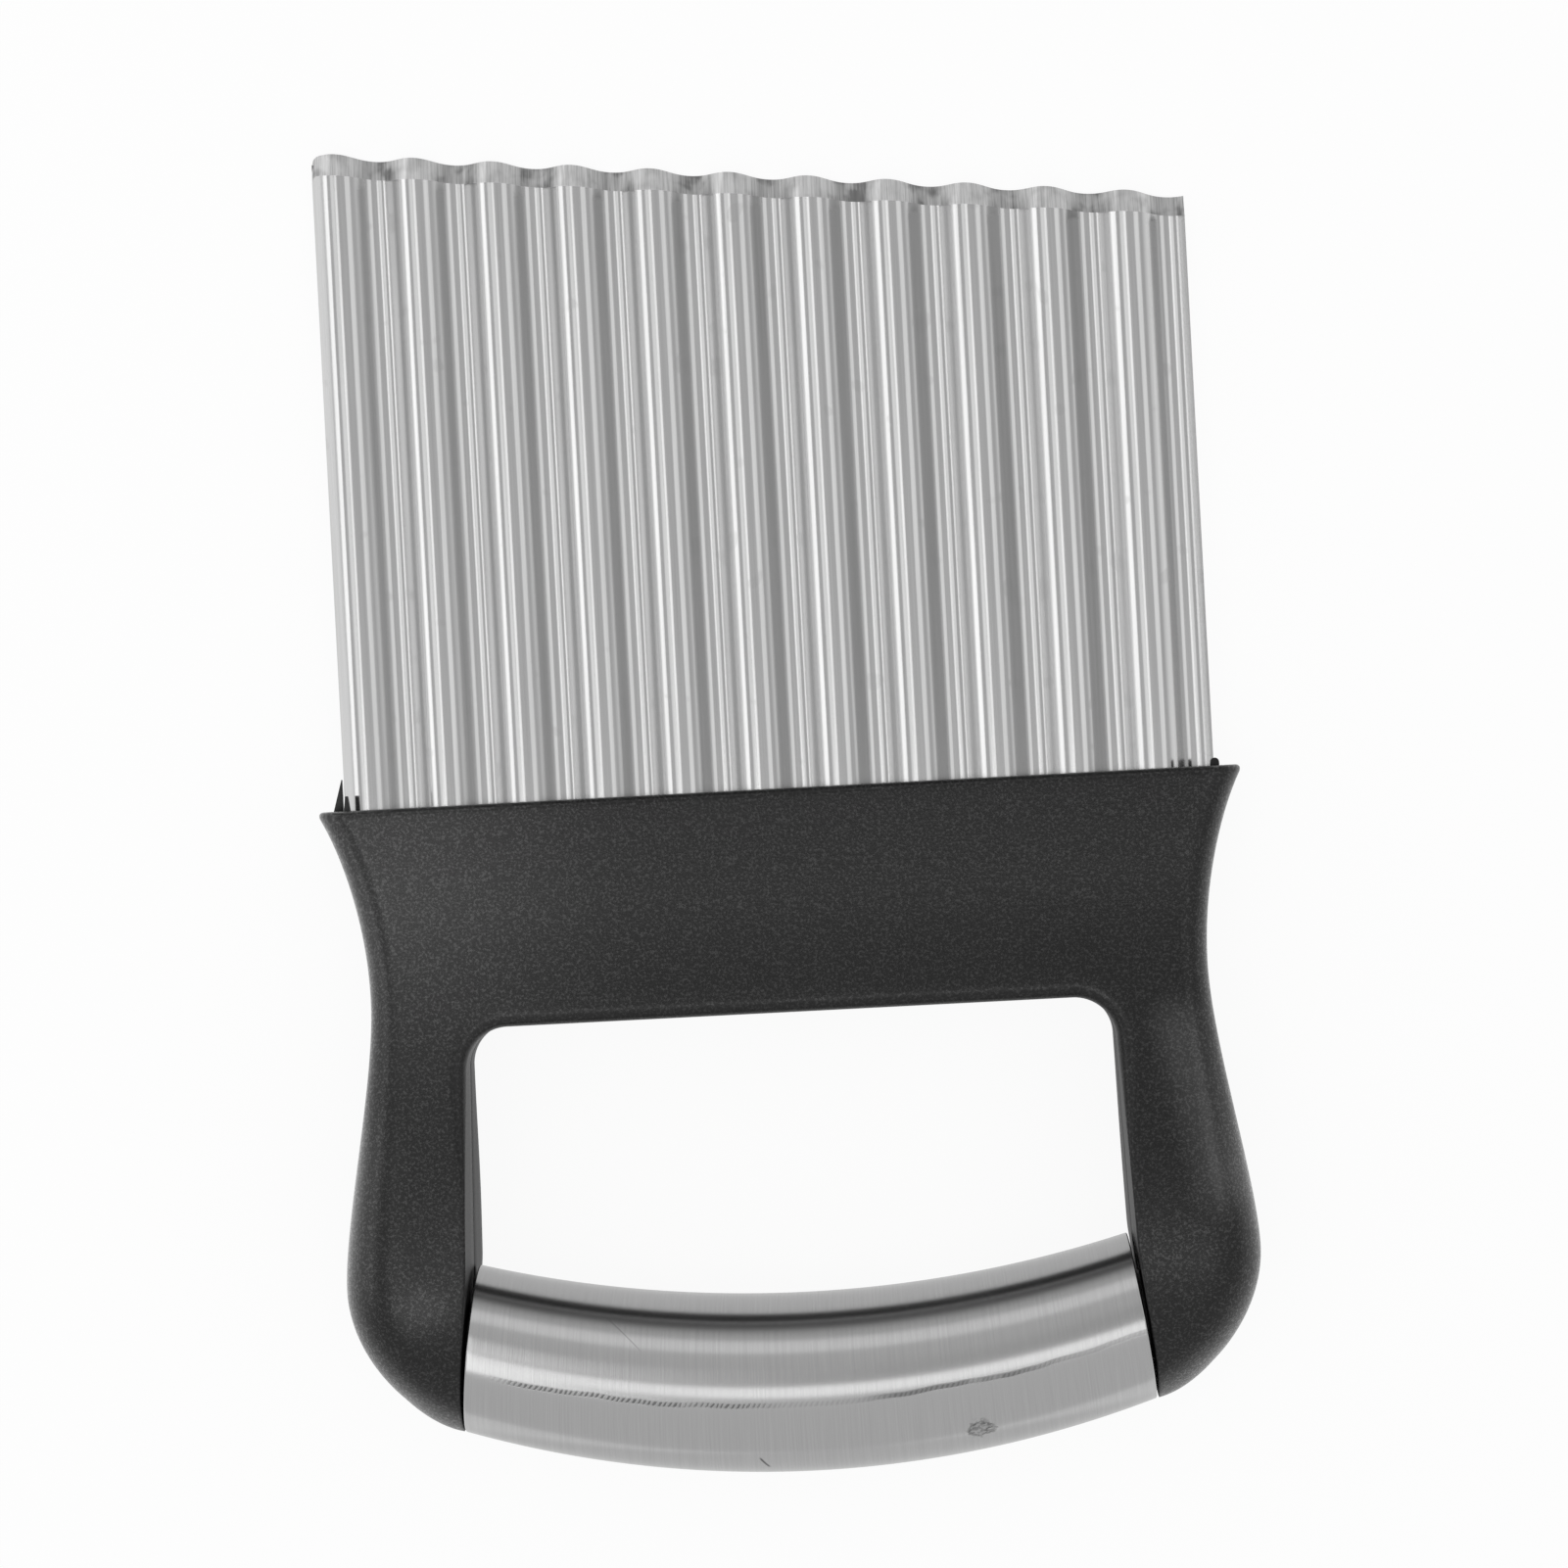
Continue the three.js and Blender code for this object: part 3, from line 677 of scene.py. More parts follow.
# Places with a painted sheen, where highlights fall, and a clear coat: middle in the tool's own frame, radius
# and how much
SHEEN_PLACES = (
    (Vector((-52, -11, 4.6)) * MM, 38 * MM, 0.55),
    (Vector((-47.5, -62.8, 11.1)) * MM, 5 * MM, 0.45),
    (Vector((-58, -46, 3)) * MM, 13 * MM, 0.9),
    (Vector((-58, -57, 3)) * MM, 13 * MM, 0.8),
    *((Vector((48.5 + 0.8 * k, -32 - 4 * k, 7 + 0.6 * k)) * MM, 5.2 * MM, 0.8) for k in range(6)),
    (Vector((57, -52, 4)) * MM, 11 * MM, 0.5),
)


def grained_plastic(name, colour, worn, sheen_colour):
    """Black moulding with a spark-eroded grain, a painted sheen and a clear coat in places where highlights
    fall, and rubbed in others.
    """
    material, net = material_net(name)
    place = net.node("ShaderNodeTexCoord", out="Object")
    grained = net.node("ShaderNodeAttribute", {"attribute_name": GRAIN}, out="Fac")
    pits = net.noise(place, 3000, 2, 0.6)
    fine = net.noise(place, 8000, 2, 0.6)
    drift = net.noise(place, 60, 2, 0.5)
    relief = pits * 0.7 + fine * 0.3
    tops = net.step_between(relief, 0.48, 0.64) * grained
    flecks = net.step_between(net.noise(place, 1100, 3, 0.7), 0.56, 0.66)
    rubbed = sum(net.near(place, LAID_DOWN @ middle, radius) for middle, radius in RUBBED) * flecks
    moulded = net.shade(colour, worn, tops * 0.8 + drift * 0.1 + rubbed * 0.7)
    # Painted sheen: the grain's colour turns lighter at these places, standing in for highlights; they also get
    # a clear coat
    coat_and_sheen = sum(net.near(place, LAID_DOWN @ middle, radius) * share for middle, radius, share in SHEEN_PLACES)
    finish_surface(net, {
        "Base Color": net.shade(moulded, sheen_colour, coat_and_sheen * (0.3 + tops * 0.7)),
        "Roughness": 0.5 - grained * 0.25 + drift * 0.05,
        "IOR": 1.42,
        "Coat Weight": (tops * 0.7 + coat_and_sheen * (0.6 + tops * 0.4)).clamped(),
        "Coat Roughness": 0.25,
        "Normal": net.bump(relief * (grained * 0.9 + 0.1), 0.06 * MM),
    })
    return material


def rolled_steel(name, colour, ground, pitch, ridge):
    """Bright rolled sheet with fine lines along the waves, and a ground bevel with painted shade in its valleys.
    """
    material, net = material_net(name)
    place = net.node("ShaderNodeTexCoord", out="Object")
    bevel = net.node("ShaderNodeAttribute", {"attribute_name": BEVEL}, out="Fac")
    lines = net.streaks(place, (2400, 22, 0), 4, 0.7)
    marks = net.streaks(place, (4200, 120, 0), 3, 0.7)
    film = net.noise(place, 55, 3, 0.55)
    spots = net.step_between(net.noise(place, 260, 1, 0.4), 0.69, 0.74)
    tone = net.shade(colour, scaled(colour, 0.6), (lines - 0.35) * 0.9 + spots * 0.15)
    blotches = net.step_between(net.noise(place, 380, 2, 0.5), 0.42, 0.74)
    # Painted shade: the bevel is coloured darker in the valleys of the waves, where shade falls
    angle = (net.parts(place)[0] - ridge) * (2 * math.pi / pitch)
    valley_shade = net.step_between(net.math("COSINE", angle), 0.5, -0.8)
    dull_and_shaded = net.step_between(marks, 0.4, 0.7) * 0.4 + blotches * 0.3 + valley_shade * (0.38 + blotches * 0.35)
    ground_tone = net.shade(ground, scaled(ground, 0.3), dull_and_shaded.clamped())
    height = lines * (1 - bevel) * 0.5 + marks * bevel
    finish_surface(net, {
        "Base Color": net.shade(tone, ground_tone, bevel),
        "Metallic": 1.0,
        "Roughness": 0.11 + film * 0.03 + lines * 0.05 + spots * 0.04 + bevel * (0.18 + marks * 0.12),
        "Normal": net.bump(height, 0.009 * MM),
    })
    return material


# Marks on the tube, by metres along it and round it: a ragged scuff along it, a dried drop and two scratches
SCUFF_ROUND = 34.1 * MM
SCUFF_CLIMB = 0.012
SCUFF_PITCH = 0.65 * MM
SCUFF_START = -41 * MM
SCUFF_FAINT = 1.5 * MM
SCUFF_END = 36 * MM
DROP = Vector((20.9, 27.3, 0)) * MM
# Scratches: middle, length, width and lean
NICK = (Vector((-5.8, 24.6)) * MM, 3.2 * MM, 0.3 * MM, math.radians(66))
HAIRLINE = (Vector((-23.3, 42.5)) * MM, 7.5 * MM, 0.12 * MM, math.radians(43))


def scratch_on_tube(net, along, around, scratch):
    """1 on a straight scratch that runs down to the right by its lean, fading at its ends and sides."""
    middle, span, width, lean = scratch
    right = along - middle.x
    up = around - middle.y
    ahead = net.math("ABSOLUTE", right * math.cos(lean) - up * math.sin(lean))
    aside = net.math("ABSOLUTE", right * math.sin(lean) + up * math.cos(lean))
    ends = net.step_between(ahead, 0.3 * span, 0.5 * span)
    sides = net.step_between(aside, 0.25 * width, 0.7 * width)
    return (1 - ends) * (1 - sides)


def brushed_tube_steel(name, colour):
    """Satin tube steel, brushed round the tube, with a scuff, a dried drop and two scratches."""
    material, net = material_net(name)
    wrap = net.node("ShaderNodeUVMap", {"uv_map": WRAP}, out="UV")
    along, around, _ = net.parts(wrap)
    rings = net.streaks(wrap, (4800, 60, 0), 4, 0.7)
    coarse = net.streaks(wrap, (900, 25, 0), 2, 0.5)
    film = net.streaks(wrap, (70, 70, 0), 3, 0.5)

    wander = (net.streaks(wrap, (90, 0, 0), 2, 0.5) - 0.5) * (1.2 * MM)
    off_line = around - SCUFF_ROUND - along * SCUFF_CLIMB - wander
    uneven = net.streaks(wrap, (500, 300, 0), 3, 0.7) * 8
    commas = net.math("SINE", (along - off_line * 0.6) * (2 * math.pi / SCUFF_PITCH) + uneven)
    strip = 1 - net.step_between(net.math("ABSOLUTE", off_line), 0.17 * MM, 0.43 * MM)
    begun = net.step_between(along, SCUFF_START, SCUFF_START + 6 * MM)
    middle = net.step_between(net.math("ABSOLUTE", along - SCUFF_FAINT), 4 * MM, 10 * MM)
    ending = net.step_between(along, SCUFF_END - 12 * MM, SCUFF_END)
    patchy = net.step_between(net.streaks(wrap, (110, 0, 0), 2, 0.6), 0.3, 0.5)
    kept = middle * (1 - ending * 0.9) * patchy
    run_on = net.step_between(along, SCUFF_FAINT, SCUFF_FAINT + 8 * MM) * 0.45
    ticks = net.step_between(commas, -0.3, 0.5) * (0.7 - run_on) + 0.3 + run_on
    scuff = begun * strip * ticks * (kept * 0.75 + 0.25)

    ragged = (net.streaks(wrap, (900, 900, 0), 3, 0.6) - 0.5) * (3 * MM)
    from_drop = net.distance(wrap, DROP) + ragged
    mottled = net.step_between(net.streaks(wrap, (1800, 1800, 0), 2, 0.6), 0.4, 0.6)
    rim = net.step_between(from_drop, 0.9 * MM, 1.4 * MM)
    drop = (1 - net.step_between(from_drop, 1.3 * MM, 1.8 * MM)) * (rim * 0.5 + mottled * 0.6 + 0.35)

    nick = scratch_on_tube(net, along, around, NICK)
    hairline = scratch_on_tube(net, along, around, HAIRLINE)
    brushed = net.shade(colour, scaled(colour, 0.72), rings * 0.85 + coarse * 0.15)
    marks = (scuff * 0.75 + drop * 0.55 + nick * 0.8 + hairline * 0.3).clamped()
    finish_surface(net, {
        "Base Color": net.shade(brushed, scaled(colour, 0.1), marks),
        "Metallic": 1.0,
        "Roughness": 0.13 + rings * 0.1 + film * 0.03 + marks * 0.2,
        "Normal": net.bump(rings + coarse * 0.2 - scuff * 2, 0.006 * MM),
    })
    return material


def plain_moulding(name, colour):
    """Black moulding without grain, for the core inside the tube."""
    material, net = material_net(name)
    place = net.node("ShaderNodeTexCoord", out="Object")
    flow = net.streaks(place, (90, 400, 400), 3, 0.5)
    finish_surface(net, {
        "Base Color": net.shade(colour, scaled(colour, 2), flow),
        "Roughness": 0.4 + flow * 0.15,
        "Normal": net.bump(flow, 0.02 * MM),
    })
    return material


# Corrugated blade: rows of the sheet that run up its rear, over the edge, down its front and under its foot
BODY_ROWS = 20
BEVEL_ROWS = 4
TURN_ROWS = 2
BLADE_ROWS = 2 * (BODY_ROWS + BEVEL_ROWS + TURN_ROWS)
# Near its ends the sheet's thickness is measured straight up, over this width
UPRIGHT_END = 1.5 * MM

# Sizes that are inputs of the blade's nodes
BLADE_SIZES = (
    "width", "wave_pitch", "wave_depth", "wave_round", "first_ridge", "sheet", "reach_left", "reach_right",
    "bevel_height", "edge_land", "edge_scallop", "corner_round", "tang_depth", "tang_shoulder", "tang_half",
)


def blade_tree():
    """Geometry nodes of the corrugated blade, from its sizes."""
    tree = bpy.data.node_groups.new("corrugated_blade", "GeometryNodeTree")
    for name in BLADE_SIZES:
        tree.interface.new_socket(name, in_out="INPUT", socket_type="NodeSocketFloat")
    tree.interface.new_socket("columns", in_out="INPUT", socket_type="NodeSocketInt")
    tree.interface.new_socket("steel", in_out="INPUT", socket_type="NodeSocketMaterial")
    tree.interface.new_socket("Blade", in_out="OUTPUT", socket_type="NodeSocketGeometry")
    net = Net(tree)
    given = net.node("NodeGroupInput").socket.node
    size = {name: Wire(net, given.outputs[name]) for name in BLADE_SIZES}
    columns = Wire(net, given.outputs["columns"])

    grid = net.node(
        "GeometryNodeMeshGrid",
        None,
        {"Size X": 1.0, "Size Y": 1.0, "Vertices X": columns + 3, "Vertices Y": BLADE_ROWS + 1},
        "Mesh",
    )
    across, along, _ = net.parts(net.node("GeometryNodeInputPosition"))
    column = (across + 0.5) * (columns + 2)
    row = (along + 0.5) * BLADE_ROWS

    def climb(start, rows):
        return ((row - start) / rows).clamped()

    up_body = climb(0, BODY_ROWS)
    up_bevel = climb(BODY_ROWS, BEVEL_ROWS)
    over_edge = climb(BODY_ROWS + BEVEL_ROWS, TURN_ROWS)
    front_start = BODY_ROWS + BEVEL_ROWS + TURN_ROWS
    down_bevel = climb(front_start, BEVEL_ROWS)
    down_body = climb(front_start + BEVEL_ROWS, BODY_ROWS)
    under_foot = climb(BLADE_ROWS - TURN_ROWS, TURN_ROWS)

    share = ((column - 1) / columns).clamped()
    end_cap = net.math("LESS_THAN", column, 0.5) + net.math("GREATER_THAN", column, columns + 1.5)
    x = (share - 0.5) * size["width"]
    to_left = share * size["width"]
    to_end = net.math("MINIMUM", to_left, (1 - share) * size["width"])
    in_corner = net.math("MAXIMUM", size["corner_round"] - to_left, 0.0)
    corner_drop = size["corner_round"] - net.math(
        "SQRT", size["corner_round"] * size["corner_round"] - in_corner * in_corner
    )
    ridge = size["first_ridge"] - size["width"] / 2
    angle = (x - ridge) / size["wave_pitch"] * (2 * math.pi)
    full = size["wave_round"]
    rise = (1 + full) * net.math("COSINE", angle) - full * net.math("COSINE", angle * 3)
    scallop = size["edge_scallop"] * (1 - rise) / 2
    edge = size["reach_left"] + (size["reach_right"] - size["reach_left"]) * share - corner_drop
    in_tang = net.math("LESS_THAN", net.math("ABSOLUTE", x), size["tang_half"])
    foot = -size["tang_shoulder"] - (size["tang_depth"] - size["tang_shoulder"]) * in_tang
    body = edge - size["bevel_height"] - foot
    y = foot + body * (up_body - down_body) + (size["bevel_height"] - scallop) * (up_bevel - down_bevel)

    fall = (1 + full) * net.math("SINE", angle) - 3 * full * net.math("SINE", angle * 3)
    slope = -(size["wave_depth"] / size["wave_pitch"]) * math.pi * fall
    steep = net.math("SQRT", slope * slope + 1)
    lean = net.step_between(to_end, 0.0, UPRIGHT_END)
    ground = over_edge * size["edge_land"] + down_bevel * (size["sheet"] - size["edge_land"])
    offset = (ground - under_foot * size["sheet"] - size["sheet"] / 2) * (1 - end_cap)
    z = size["wave_depth"] / 2 * rise + offset * (steep + (1 / steep - steep) * lean)

    past_edge = net.math("GREATER_THAN", row, front_start)
    on_bevel = past_edge * net.math("LESS_THAN", row, front_start + BEVEL_ROWS)
    marked = net.node(
        "GeometryNodeStoreNamedAttribute",
        {"data_type": "FLOAT", "domain": "FACE"},
        {"Geometry": grid, "Name": BEVEL, "Value": on_bevel},
    )
    placed = net.node(
        "GeometryNodeSetPosition",
        None,
        {"Geometry": marked, "Position": net.vector(x - offset * slope / steep * lean, y, z)},
    )
    welded = net.node("GeometryNodeMergeByDistance", None, {"Geometry": placed, "Distance": WELD})
    single = net.node("GeometryNodeRealizeInstances", None, {"Geometry": welded})
    steel = Wire(net, given.outputs["steel"])
    finished = net.node("GeometryNodeSetMaterial", None, {"Geometry": single, "Material": steel})
    net.node("NodeGroupOutput", None, {"Blade": finished})
    return tree


class CUTTER_OT_blade(bpy.types.Operator):
    """Make the corrugated blade with geometry nodes"""

    bl_idname = "cutter.blade"
    bl_label = "Blade"

    def execute(self, context):
        sizes = context.scene.cutter_blade
        material = rolled_steel(
            "rolled_steel",
            sizes.steel,
            sizes.ground_steel,
            sizes.wave_pitch,
            sizes.first_ridge - sizes.width / 2,
        )
        tree = blade_tree()
        carrier = bpy.data.objects.new("blade_carrier", bpy.data.meshes.new("blade_carrier"))
        context.scene.collection.objects.link(carrier)
        modifier = carrier.modifiers.new("Corrugated blade", "NODES")
        modifier.node_group = tree
        inputs = {item.name: item.identifier for item in tree.interface.items_tree if item.in_out == "INPUT"}
        for name in BLADE_SIZES:
            modifier[inputs[name]] = getattr(sizes, name)
        modifier[inputs["columns"]] = round(sizes.width / sizes.wave_pitch * sizes.wave_steps)
        modifier[inputs["steel"]] = material
        shaped = bpy.data.meshes.new_from_object(carrier.evaluated_get(context.evaluated_depsgraph_get()))
        if not shaped.polygons:
            raise RuntimeError("the blade's nodes made no faces")
        carrier.modifiers.remove(modifier)
        bpy.data.objects.remove(carrier)
        shaped.name = "corrugated_blade"
        settle(shaped, SHARP_BLADE_EDGE)
        add_piece("corrugated_blade", shaped, material, "blade")
        return {"FINISHED"}


# Small uprights at the ends of the blade: an ear, a prong and a nub
EAR_HEIGHT = 4.1 * MM
EAR_WIDTH = 1.2 * MM
PRONG_HEIGHT = 1.9 * MM
PRONG_TAPER = 0.3
NUB_HEIGHT = 1 * MM
NUB_WIDTH = 1.1 * MM
NUB_STEPS = 6
EAR_ROUND = 0.12 * MM


def nub_face(form, x):
    """Level in front of the blade that clears it over a nub's width."""
    levels = []
    for side in (-1, 0, 1):
        height, slope = form.wave(x + side * NUB_WIDTH / 2)
        levels.append(height + form.slot_half * math.hypot(1, slope))
    return max(levels) + FIT / 2


class CUTTER_OT_handle(bpy.types.Operator):
    """Make the two halves of the moulded handle, with the small ears at the ends of the blade"""

    bl_idname = "cutter.handle"
    bl_label = "Handle halves"

    def execute(self, context):
        form = ToolForm(context.scene)
        handle = context.scene.cutter_handle
        material = grained_plastic(
            "grained_black_plastic", handle.plastic, handle.worn_plastic, handle.painted_sheen_plastic
        )
        root = -handle.mouth_round - FIT
        half = NUB_WIDTH / 2

        left = -form.slot_end
        spike = [(left - EAR_WIDTH, root), (left, root), (left, EAR_HEIGHT), (left - EAR_WIDTH, 0)]
        rear = shell_mesh("rear_half", form, -1)
        joined(rear, [ear_mesh("ear", spike, -form.blade.wave_depth / 2, -PART_GAP / 2, EAR_ROUND)])

        x = -form.blade.width / 2 + half
        tip = half * PRONG_TAPER
        prong = [(x - half, root), (x + half, root), (x + tip, PRONG_HEIGHT), (x - tip, PRONG_HEIGHT)]
        level = nub_face(form, x)
        ears = [ear_mesh("prong", prong, level, level + NUB_WIDTH, EAR_ROUND)]
        x = form.blade.width / 2
        level = nub_face(form, x)
        nub = [(x - half, root), (x + half, root)]
        for k in range(NUB_STEPS + 1):
            turn = k / NUB_STEPS * math.pi
            nub.append((x + half * math.cos(turn), NUB_HEIGHT - half + half * math.sin(turn)))
        ears.append(ear_mesh("nub", nub, level, level + NUB_WIDTH, EAR_ROUND))
        front = shell_mesh("front_half", form, 1)
        joined(front, ears)

        for mesh, node in ((front, "front_shell"), (rear, "rear_shell")):
            settle(mesh)
            add_piece(mesh.name, mesh, material, node)
        return {"FINISHED"}


# Mesh of the tube: steps round it, along it and round its lips, and how many of them a step of the bore spans
RING_STEPS = 128
BOW_STEPS = 150
LIP_STEPS = 4
BORE_SKIP = 5
TUBE_EDGE = 0.2 * MM


def tube_profile(form):
    """The tube's wall as x and radius: along its outside, round its right end, along its bore and back round."""
    grip = form.grip

    def radius(x):
        share = x / form.tube_half
        return mixed(grip.middle_diameter, grip.end_diameter, share * share) / 2

    end = form.tube_half - TUBE_EDGE
    outside = [(x, radius(x)) for x in (mixed(-end, end, k / BOW_STEPS) for k in range(BOW_STEPS + 1))]
    lip = []
    for k in range(1, LIP_STEPS + 1):
        turn = k / LIP_STEPS * math.pi / 2
        lip.append((end + TUBE_EDGE * math.sin(turn), radius(end) - TUBE_EDGE * (1 - math.cos(turn))))
    lip.append((form.tube_half, radius(form.tube_half) - grip.wall))
    bore = [(x, r - grip.wall) for x, r in outside[::-BORE_SKIP]]
    mirror = [(-x, r) for x, r in reversed(lip)]
    return outside + lip + bore[1:-1] + mirror


def tube_mesh(name, form):
    """Closed bowed tube, with a map that unrolls it: metres along the tube and round it."""
    profile = tube_profile(form)
    points, unrolled = [], []
    for x, radius in profile:
        along = math.asin(x / form.bow_radius)
        lean = along * form.tube_lean / form.bow_end
        tall = radius / math.cos(along - lean)
        for i in range(RING_STEPS):
            turn = 2 * math.pi * i / RING_STEPS - math.pi / 2
            points.append((
                x + tall * math.cos(turn) * math.sin(lean),
                form.bow_centre - form.bow_radius * math.cos(along) - tall * math.cos(turn) * math.cos(lean),
                radius * math.sin(turn),
            ))
        unrolled.append(along * form.bow_radius)
    faces, spread = [], []
    girth = math.pi * form.grip.middle_diameter
    for k in range(len(profile)):
        after = (k + 1) % len(profile)
        here = k * RING_STEPS
        there = after * RING_STEPS
        for i in range(RING_STEPS):
            j = (i + 1) % RING_STEPS
            faces.append((here + i, here + j, there + j, there + i))
            start = girth * i / RING_STEPS
            end = girth * (i + 1) / RING_STEPS
            spread += [unrolled[k], start, unrolled[k], end, unrolled[after], end, unrolled[after], start]
    mesh = bpy.data.meshes.new(name)
    mesh.from_pydata(points, [], faces)
    mesh.uv_layers.new(name=WRAP).data.foreach_set("uv", spread)
    return mesh


class CUTTER_OT_grip(bpy.types.Operator):
    """Make the bowed grip tube, and finish the core that shows in the gaps at its ends"""

    bl_idname = "cutter.grip"
    bl_label = "Grip"

    def execute(self, context):
        grip = context.scene.cutter_grip
        mesh = tube_mesh("bowed_tube", ToolForm(context.scene))
        settle(mesh)
        material = brushed_tube_steel("brushed_tube_steel", grip.steel)
        add_piece("bowed_tube", mesh, material, "grip_tube")
        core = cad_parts["grip_core"]
        core.data.materials.clear()
        core.data.materials.append(plain_moulding("plain_black_moulding", grip.core))
        return {"FINISHED"}


# Camera: pixels across the picture, what one spans at the tool, where it aims, and its sensor in millimetres
PICTURE = 1601
PIXEL = 0.1243 * MM
AIM = Vector((0.76, 0.52, 0)) * MM
SENSOR = 36.0

# Soft lamps: name, place, size and power
SOFTBOXES = (
    ("overhead_softbox", (-0.22, -0.11, 0.6), (0.19, 0.28), 0.213),
    ("left_softbox", (-0.14, 0.13, 0.6), (0.14, 0.2), 0.07),
    ("outer_left_softbox", (-0.36, 0.13, 0.6), (0.234, 0.25), 0.082),
    ("low_left_panel", (-0.36, 0.1, 0.147), (0.12, 0.5), 0.185),
    ("right_softbox", (0.36, 0.1, 0.31), (0.19, 0.4), 0.105),
    ("middle_softbox", (0.108, -0.09, 0.6), (0.465, 0.15), 0.235),
    ("far_softbox", (0, 0.5, 0.38), (0.4, 0.2), 0.1),
)

# Surround: levels from the horizon up, the near wall, what the far wall adds, and how dark it is low down
SKY_STOPS = ((0.0, 1.0), (0.1, 0.9), (0.3, 0.5), (0.5, 0.52), (0.75, 0.56), (1.0, 0.56))
NEAR_WALL = 0.74
FAR_WALL = 0.13
FAR_DARK = 0.93

# Worktop: half its width, and the share of it that is seen as lit
WORKTOP_HALF = 3.0
SEEN_LIT = 0.92
# Where reflections show painted shade on it, and how dark: far away, and a painted shadow between the arms
FAR_START, FAR_END = 0.1, 0.2
FAR_SHADE = 0.92
ARMS_START, ARMS_END = 0.043, 0.058
ARMS_SHADOW = 0.22


def studio_world(scene):
    """Soft studio: white at the horizon, greyer overhead, an even near wall, and dark low on the far side."""
    world = bpy.data.worlds.new("studio")
    scene.world = world
    world.use_nodes = True
    net = Net(world.node_tree)
    _, away, up = net.parts(net.node("ShaderNodeTexCoord", out="Generated"))
    level = net.node("ShaderNodeValToRGB", {"stops": SKY_STOPS}, {"Fac": up})
    walled = level + (NEAR_WALL - level) * net.step_between(-away, 0.08, 0.3)
    walled += FAR_WALL * net.step_between(away, 0.35, 0.6)
    dark = net.step_between(away, 0.5, 0.85) * (1 - net.step_between(up, 0.02, 0.36))
    sky = net.node("ShaderNodeBackground", None, {"Color": walled * (1 - dark * FAR_DARK), "Strength": 1.0})
    net.node("ShaderNodeOutputWorld", None, {"Surface": sky})


def add_softbox(name, place, size, power):
    """A soft lamp aimed at the tool. Its size is across the tool, or upwards at its sides, and along it."""
    lamp = bpy.data.lights.new(name, "AREA")
    lamp.shape = "RECTANGLE"
    lamp.size, lamp.size_y = size
    lamp.energy = power
    box = bpy.data.objects.new(name, lamp)
    away = place.normalized()
    across = Vector((0, 1, 0)).cross(away).normalized()
    turn = Matrix((across, away.cross(across), away)).transposed().to_4x4()
    box.matrix_world = Matrix.Translation(place) @ turn
    bpy.context.scene.collection.objects.link(box)


def white_worktop(name, colour):
    """Matt white that the camera and reflections see as lit, with painted shade in reflections far away and a
    painted shadow between the arms.
    """
    material, net = material_net(name)
    place = net.node("ShaderNodeTexCoord", out="Object")
    rays = net.node("ShaderNodeLightPath").socket.node
    kinds = ("Is Camera Ray", "Is Glossy Ray", "Is Transmission Ray")
    seen = sum(Wire(net, rays.outputs[kind]) for kind in kinds).clamped()
    mirrored = 1 - Wire(net, rays.outputs["Is Camera Ray"])
    x, y, _ = net.parts(place)
    far = net.step_between(y, FAR_START, FAR_END)
    shadow_between_arms = 1 - net.step_between(net.math("ABSOLUTE", x), ARMS_START, ARMS_END)
    mottle = net.noise(place, 40, 2, 0.5)
    matt = net.node("ShaderNodeBsdfDiffuse", None, {"Color": net.shade(colour, scaled(colour, 0.98), mottle)})
    # Painted shade: reflections see the worktop darker far away, and a painted shadow between the arms
    white = 1 - mirrored * (far * FAR_SHADE + (1 - far) * shadow_between_arms * ARMS_SHADOW)
    lit = net.node("ShaderNodeEmission", None, {"Color": white, "Strength": 1.0})
    finish_material(net, net.node("ShaderNodeMixShader", None, {0: seen * SEEN_LIT, 1: matt, 2: lit}))
    return material


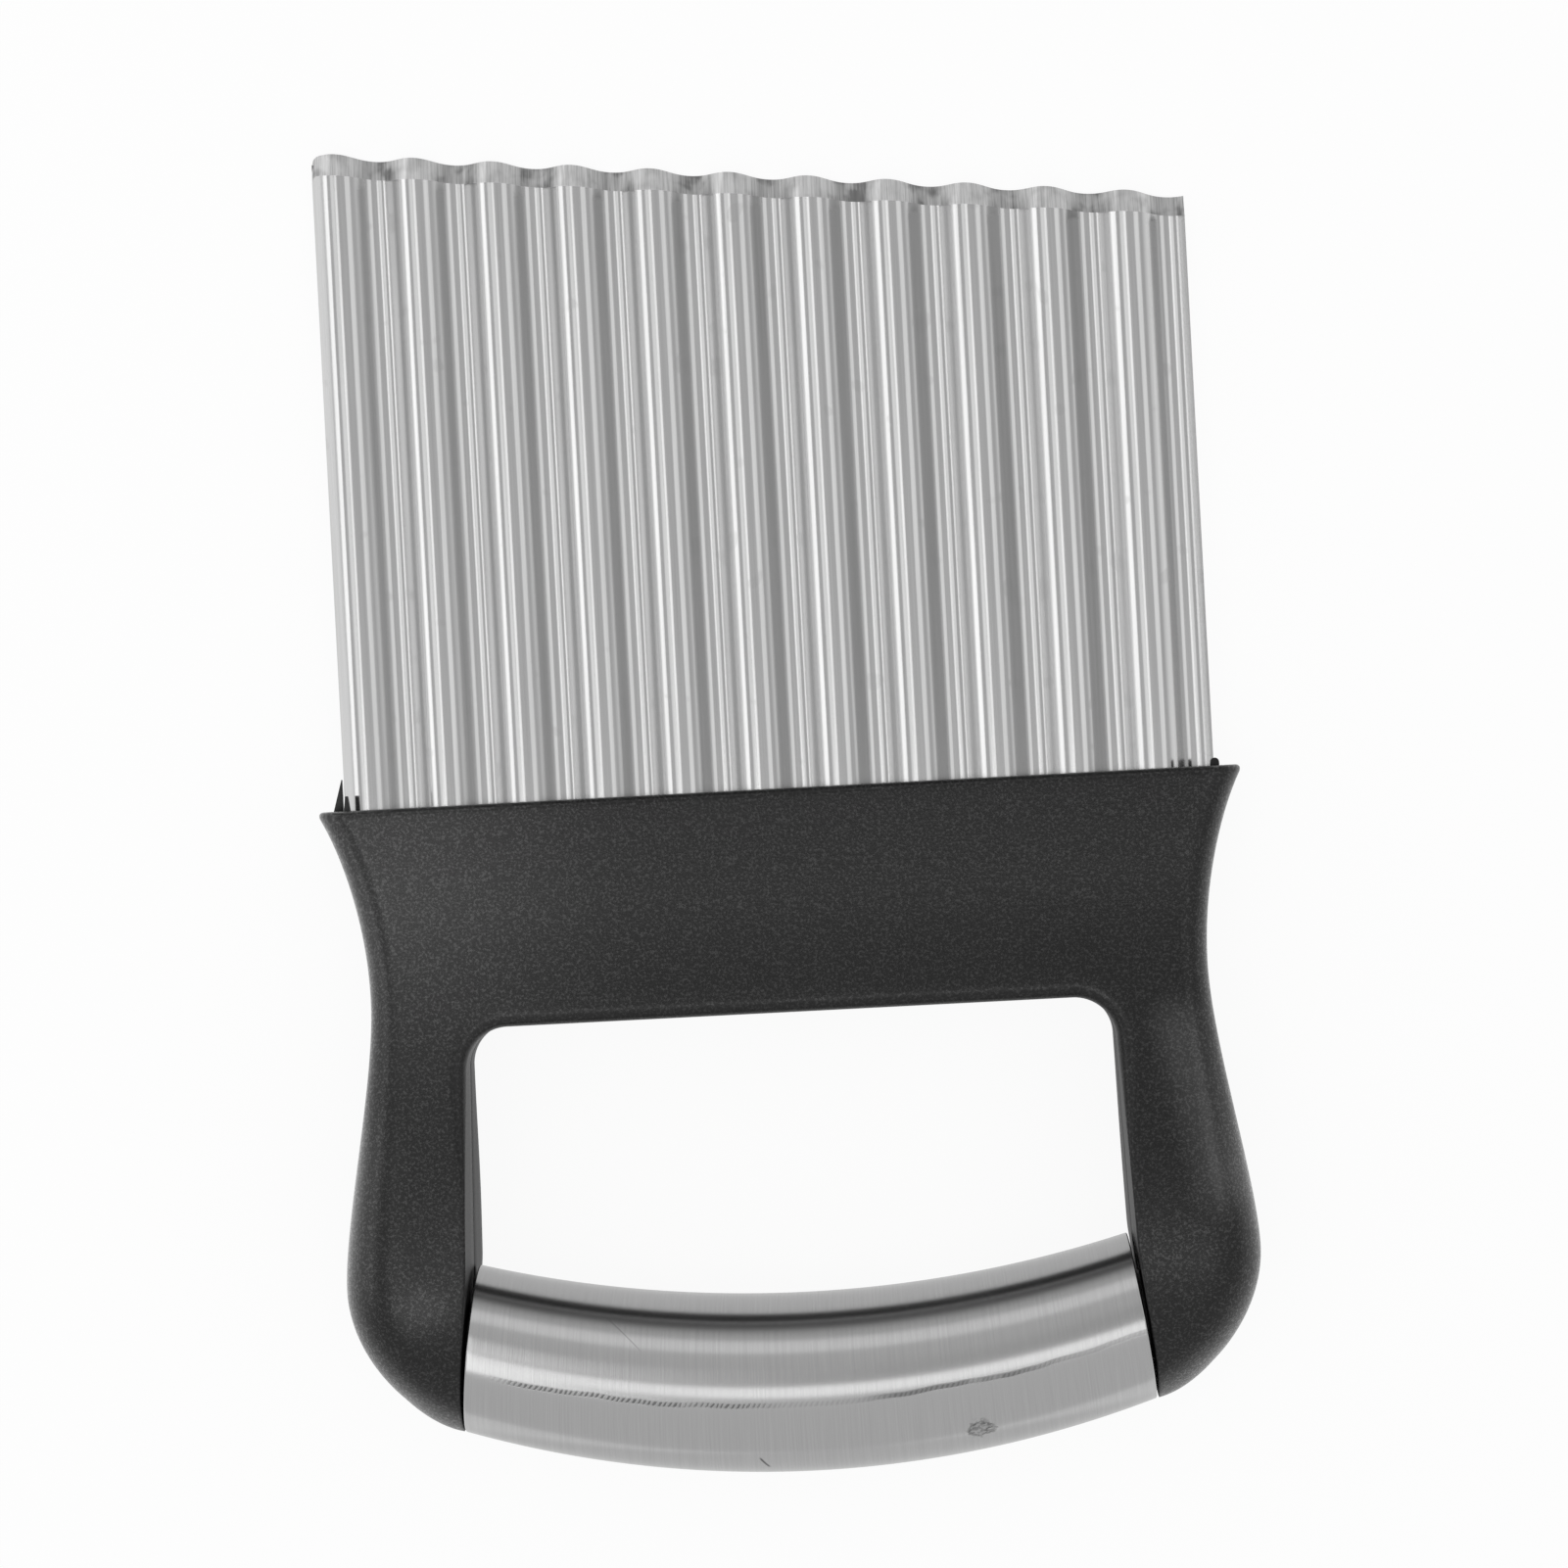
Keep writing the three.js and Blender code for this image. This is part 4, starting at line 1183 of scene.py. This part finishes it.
class CUTTER_OT_stage(bpy.types.Operator):
    """Make the camera, the white worktop and the soft light"""

    bl_idname = "cutter.stage"
    bl_label = "Stage"

    def execute(self, context):
        scene = context.scene
        stage = scene.cutter_stage
        scene.view_settings.view_transform = "Standard"

        back = Vector((math.sin(stage.yaw), math.sin(stage.pitch), 1)).normalized()
        up = Vector((math.sin(stage.roll), math.cos(stage.roll), 0))
        right = up.cross(back).normalized()
        up = back.cross(right)
        turn = Matrix((right, up, back)).transposed().to_4x4()
        lens = bpy.data.cameras.new("camera")
        lens.sensor_width = SENSOR
        lens.lens = SENSOR * stage.distance / (PICTURE * PIXEL)
        camera = bpy.data.objects.new("camera", lens)
        camera.matrix_world = LAID_DOWN @ Matrix.Translation(AIM + back * stage.distance) @ turn
        scene.collection.objects.link(camera)
        scene.camera = camera

        mesh = bpy.data.meshes.new("worktop")
        corners = [(x * WORKTOP_HALF, y * WORKTOP_HALF, 0) for x, y in ((-1, -1), (1, -1), (1, 1), (-1, 1))]
        mesh.from_pydata(corners, [], [(0, 1, 2, 3)])
        mesh.materials.append(white_worktop("white_worktop", stage.floor))
        worktop = bpy.data.objects.new("worktop", mesh)
        scene.collection.objects.link(worktop)

        studio_world(scene)
        for name, place, size, power in SOFTBOXES:
            add_softbox(name, Vector(place), size, power)
        return {"FINISHED"}


class CUTTER_PT_panel(bpy.types.Panel):
    """Sizes and finishes of the crinkle cutter"""

    bl_label = "Crinkle Cutter"
    bl_idname = "CUTTER_PT_panel"
    bl_space_type = "VIEW_3D"
    bl_region_type = "UI"
    bl_category = "Cutter"

    def draw(self, context):
        for group in SETTINGS:
            box = self.layout.box()
            settings = getattr(context.scene, group)
            for name in settings.__class__.__annotations__:
                box.prop(settings, name)
            box.operator(group.replace("_", "."))


# Settings by their names in the scene; each has an operator of the same name
SETTINGS = {
    "cutter_stage": StageSettings,
    "cutter_blade": BladeSettings,
    "cutter_handle": HandleSettings,
    "cutter_grip": GripSettings,
}
CLASSES = (
    *SETTINGS.values(),
    CUTTER_OT_stage,
    CUTTER_OT_blade,
    CUTTER_OT_handle,
    CUTTER_OT_grip,
    CUTTER_PT_panel,
)


def register():
    for cls in CLASSES:
        bpy.utils.register_class(cls)
    for name, settings in SETTINGS.items():
        setattr(bpy.types.Scene, name, PointerProperty(type=settings))


def unregister():
    for name in SETTINGS:
        delattr(bpy.types.Scene, name)
    for cls in reversed(CLASSES):
        bpy.utils.unregister_class(cls)


def main():
    register()
    bpy.ops.cutter.stage()
    bpy.ops.cutter.blade()
    bpy.ops.cutter.handle()
    bpy.ops.cutter.grip()


if __name__ == "__main__":
    main()
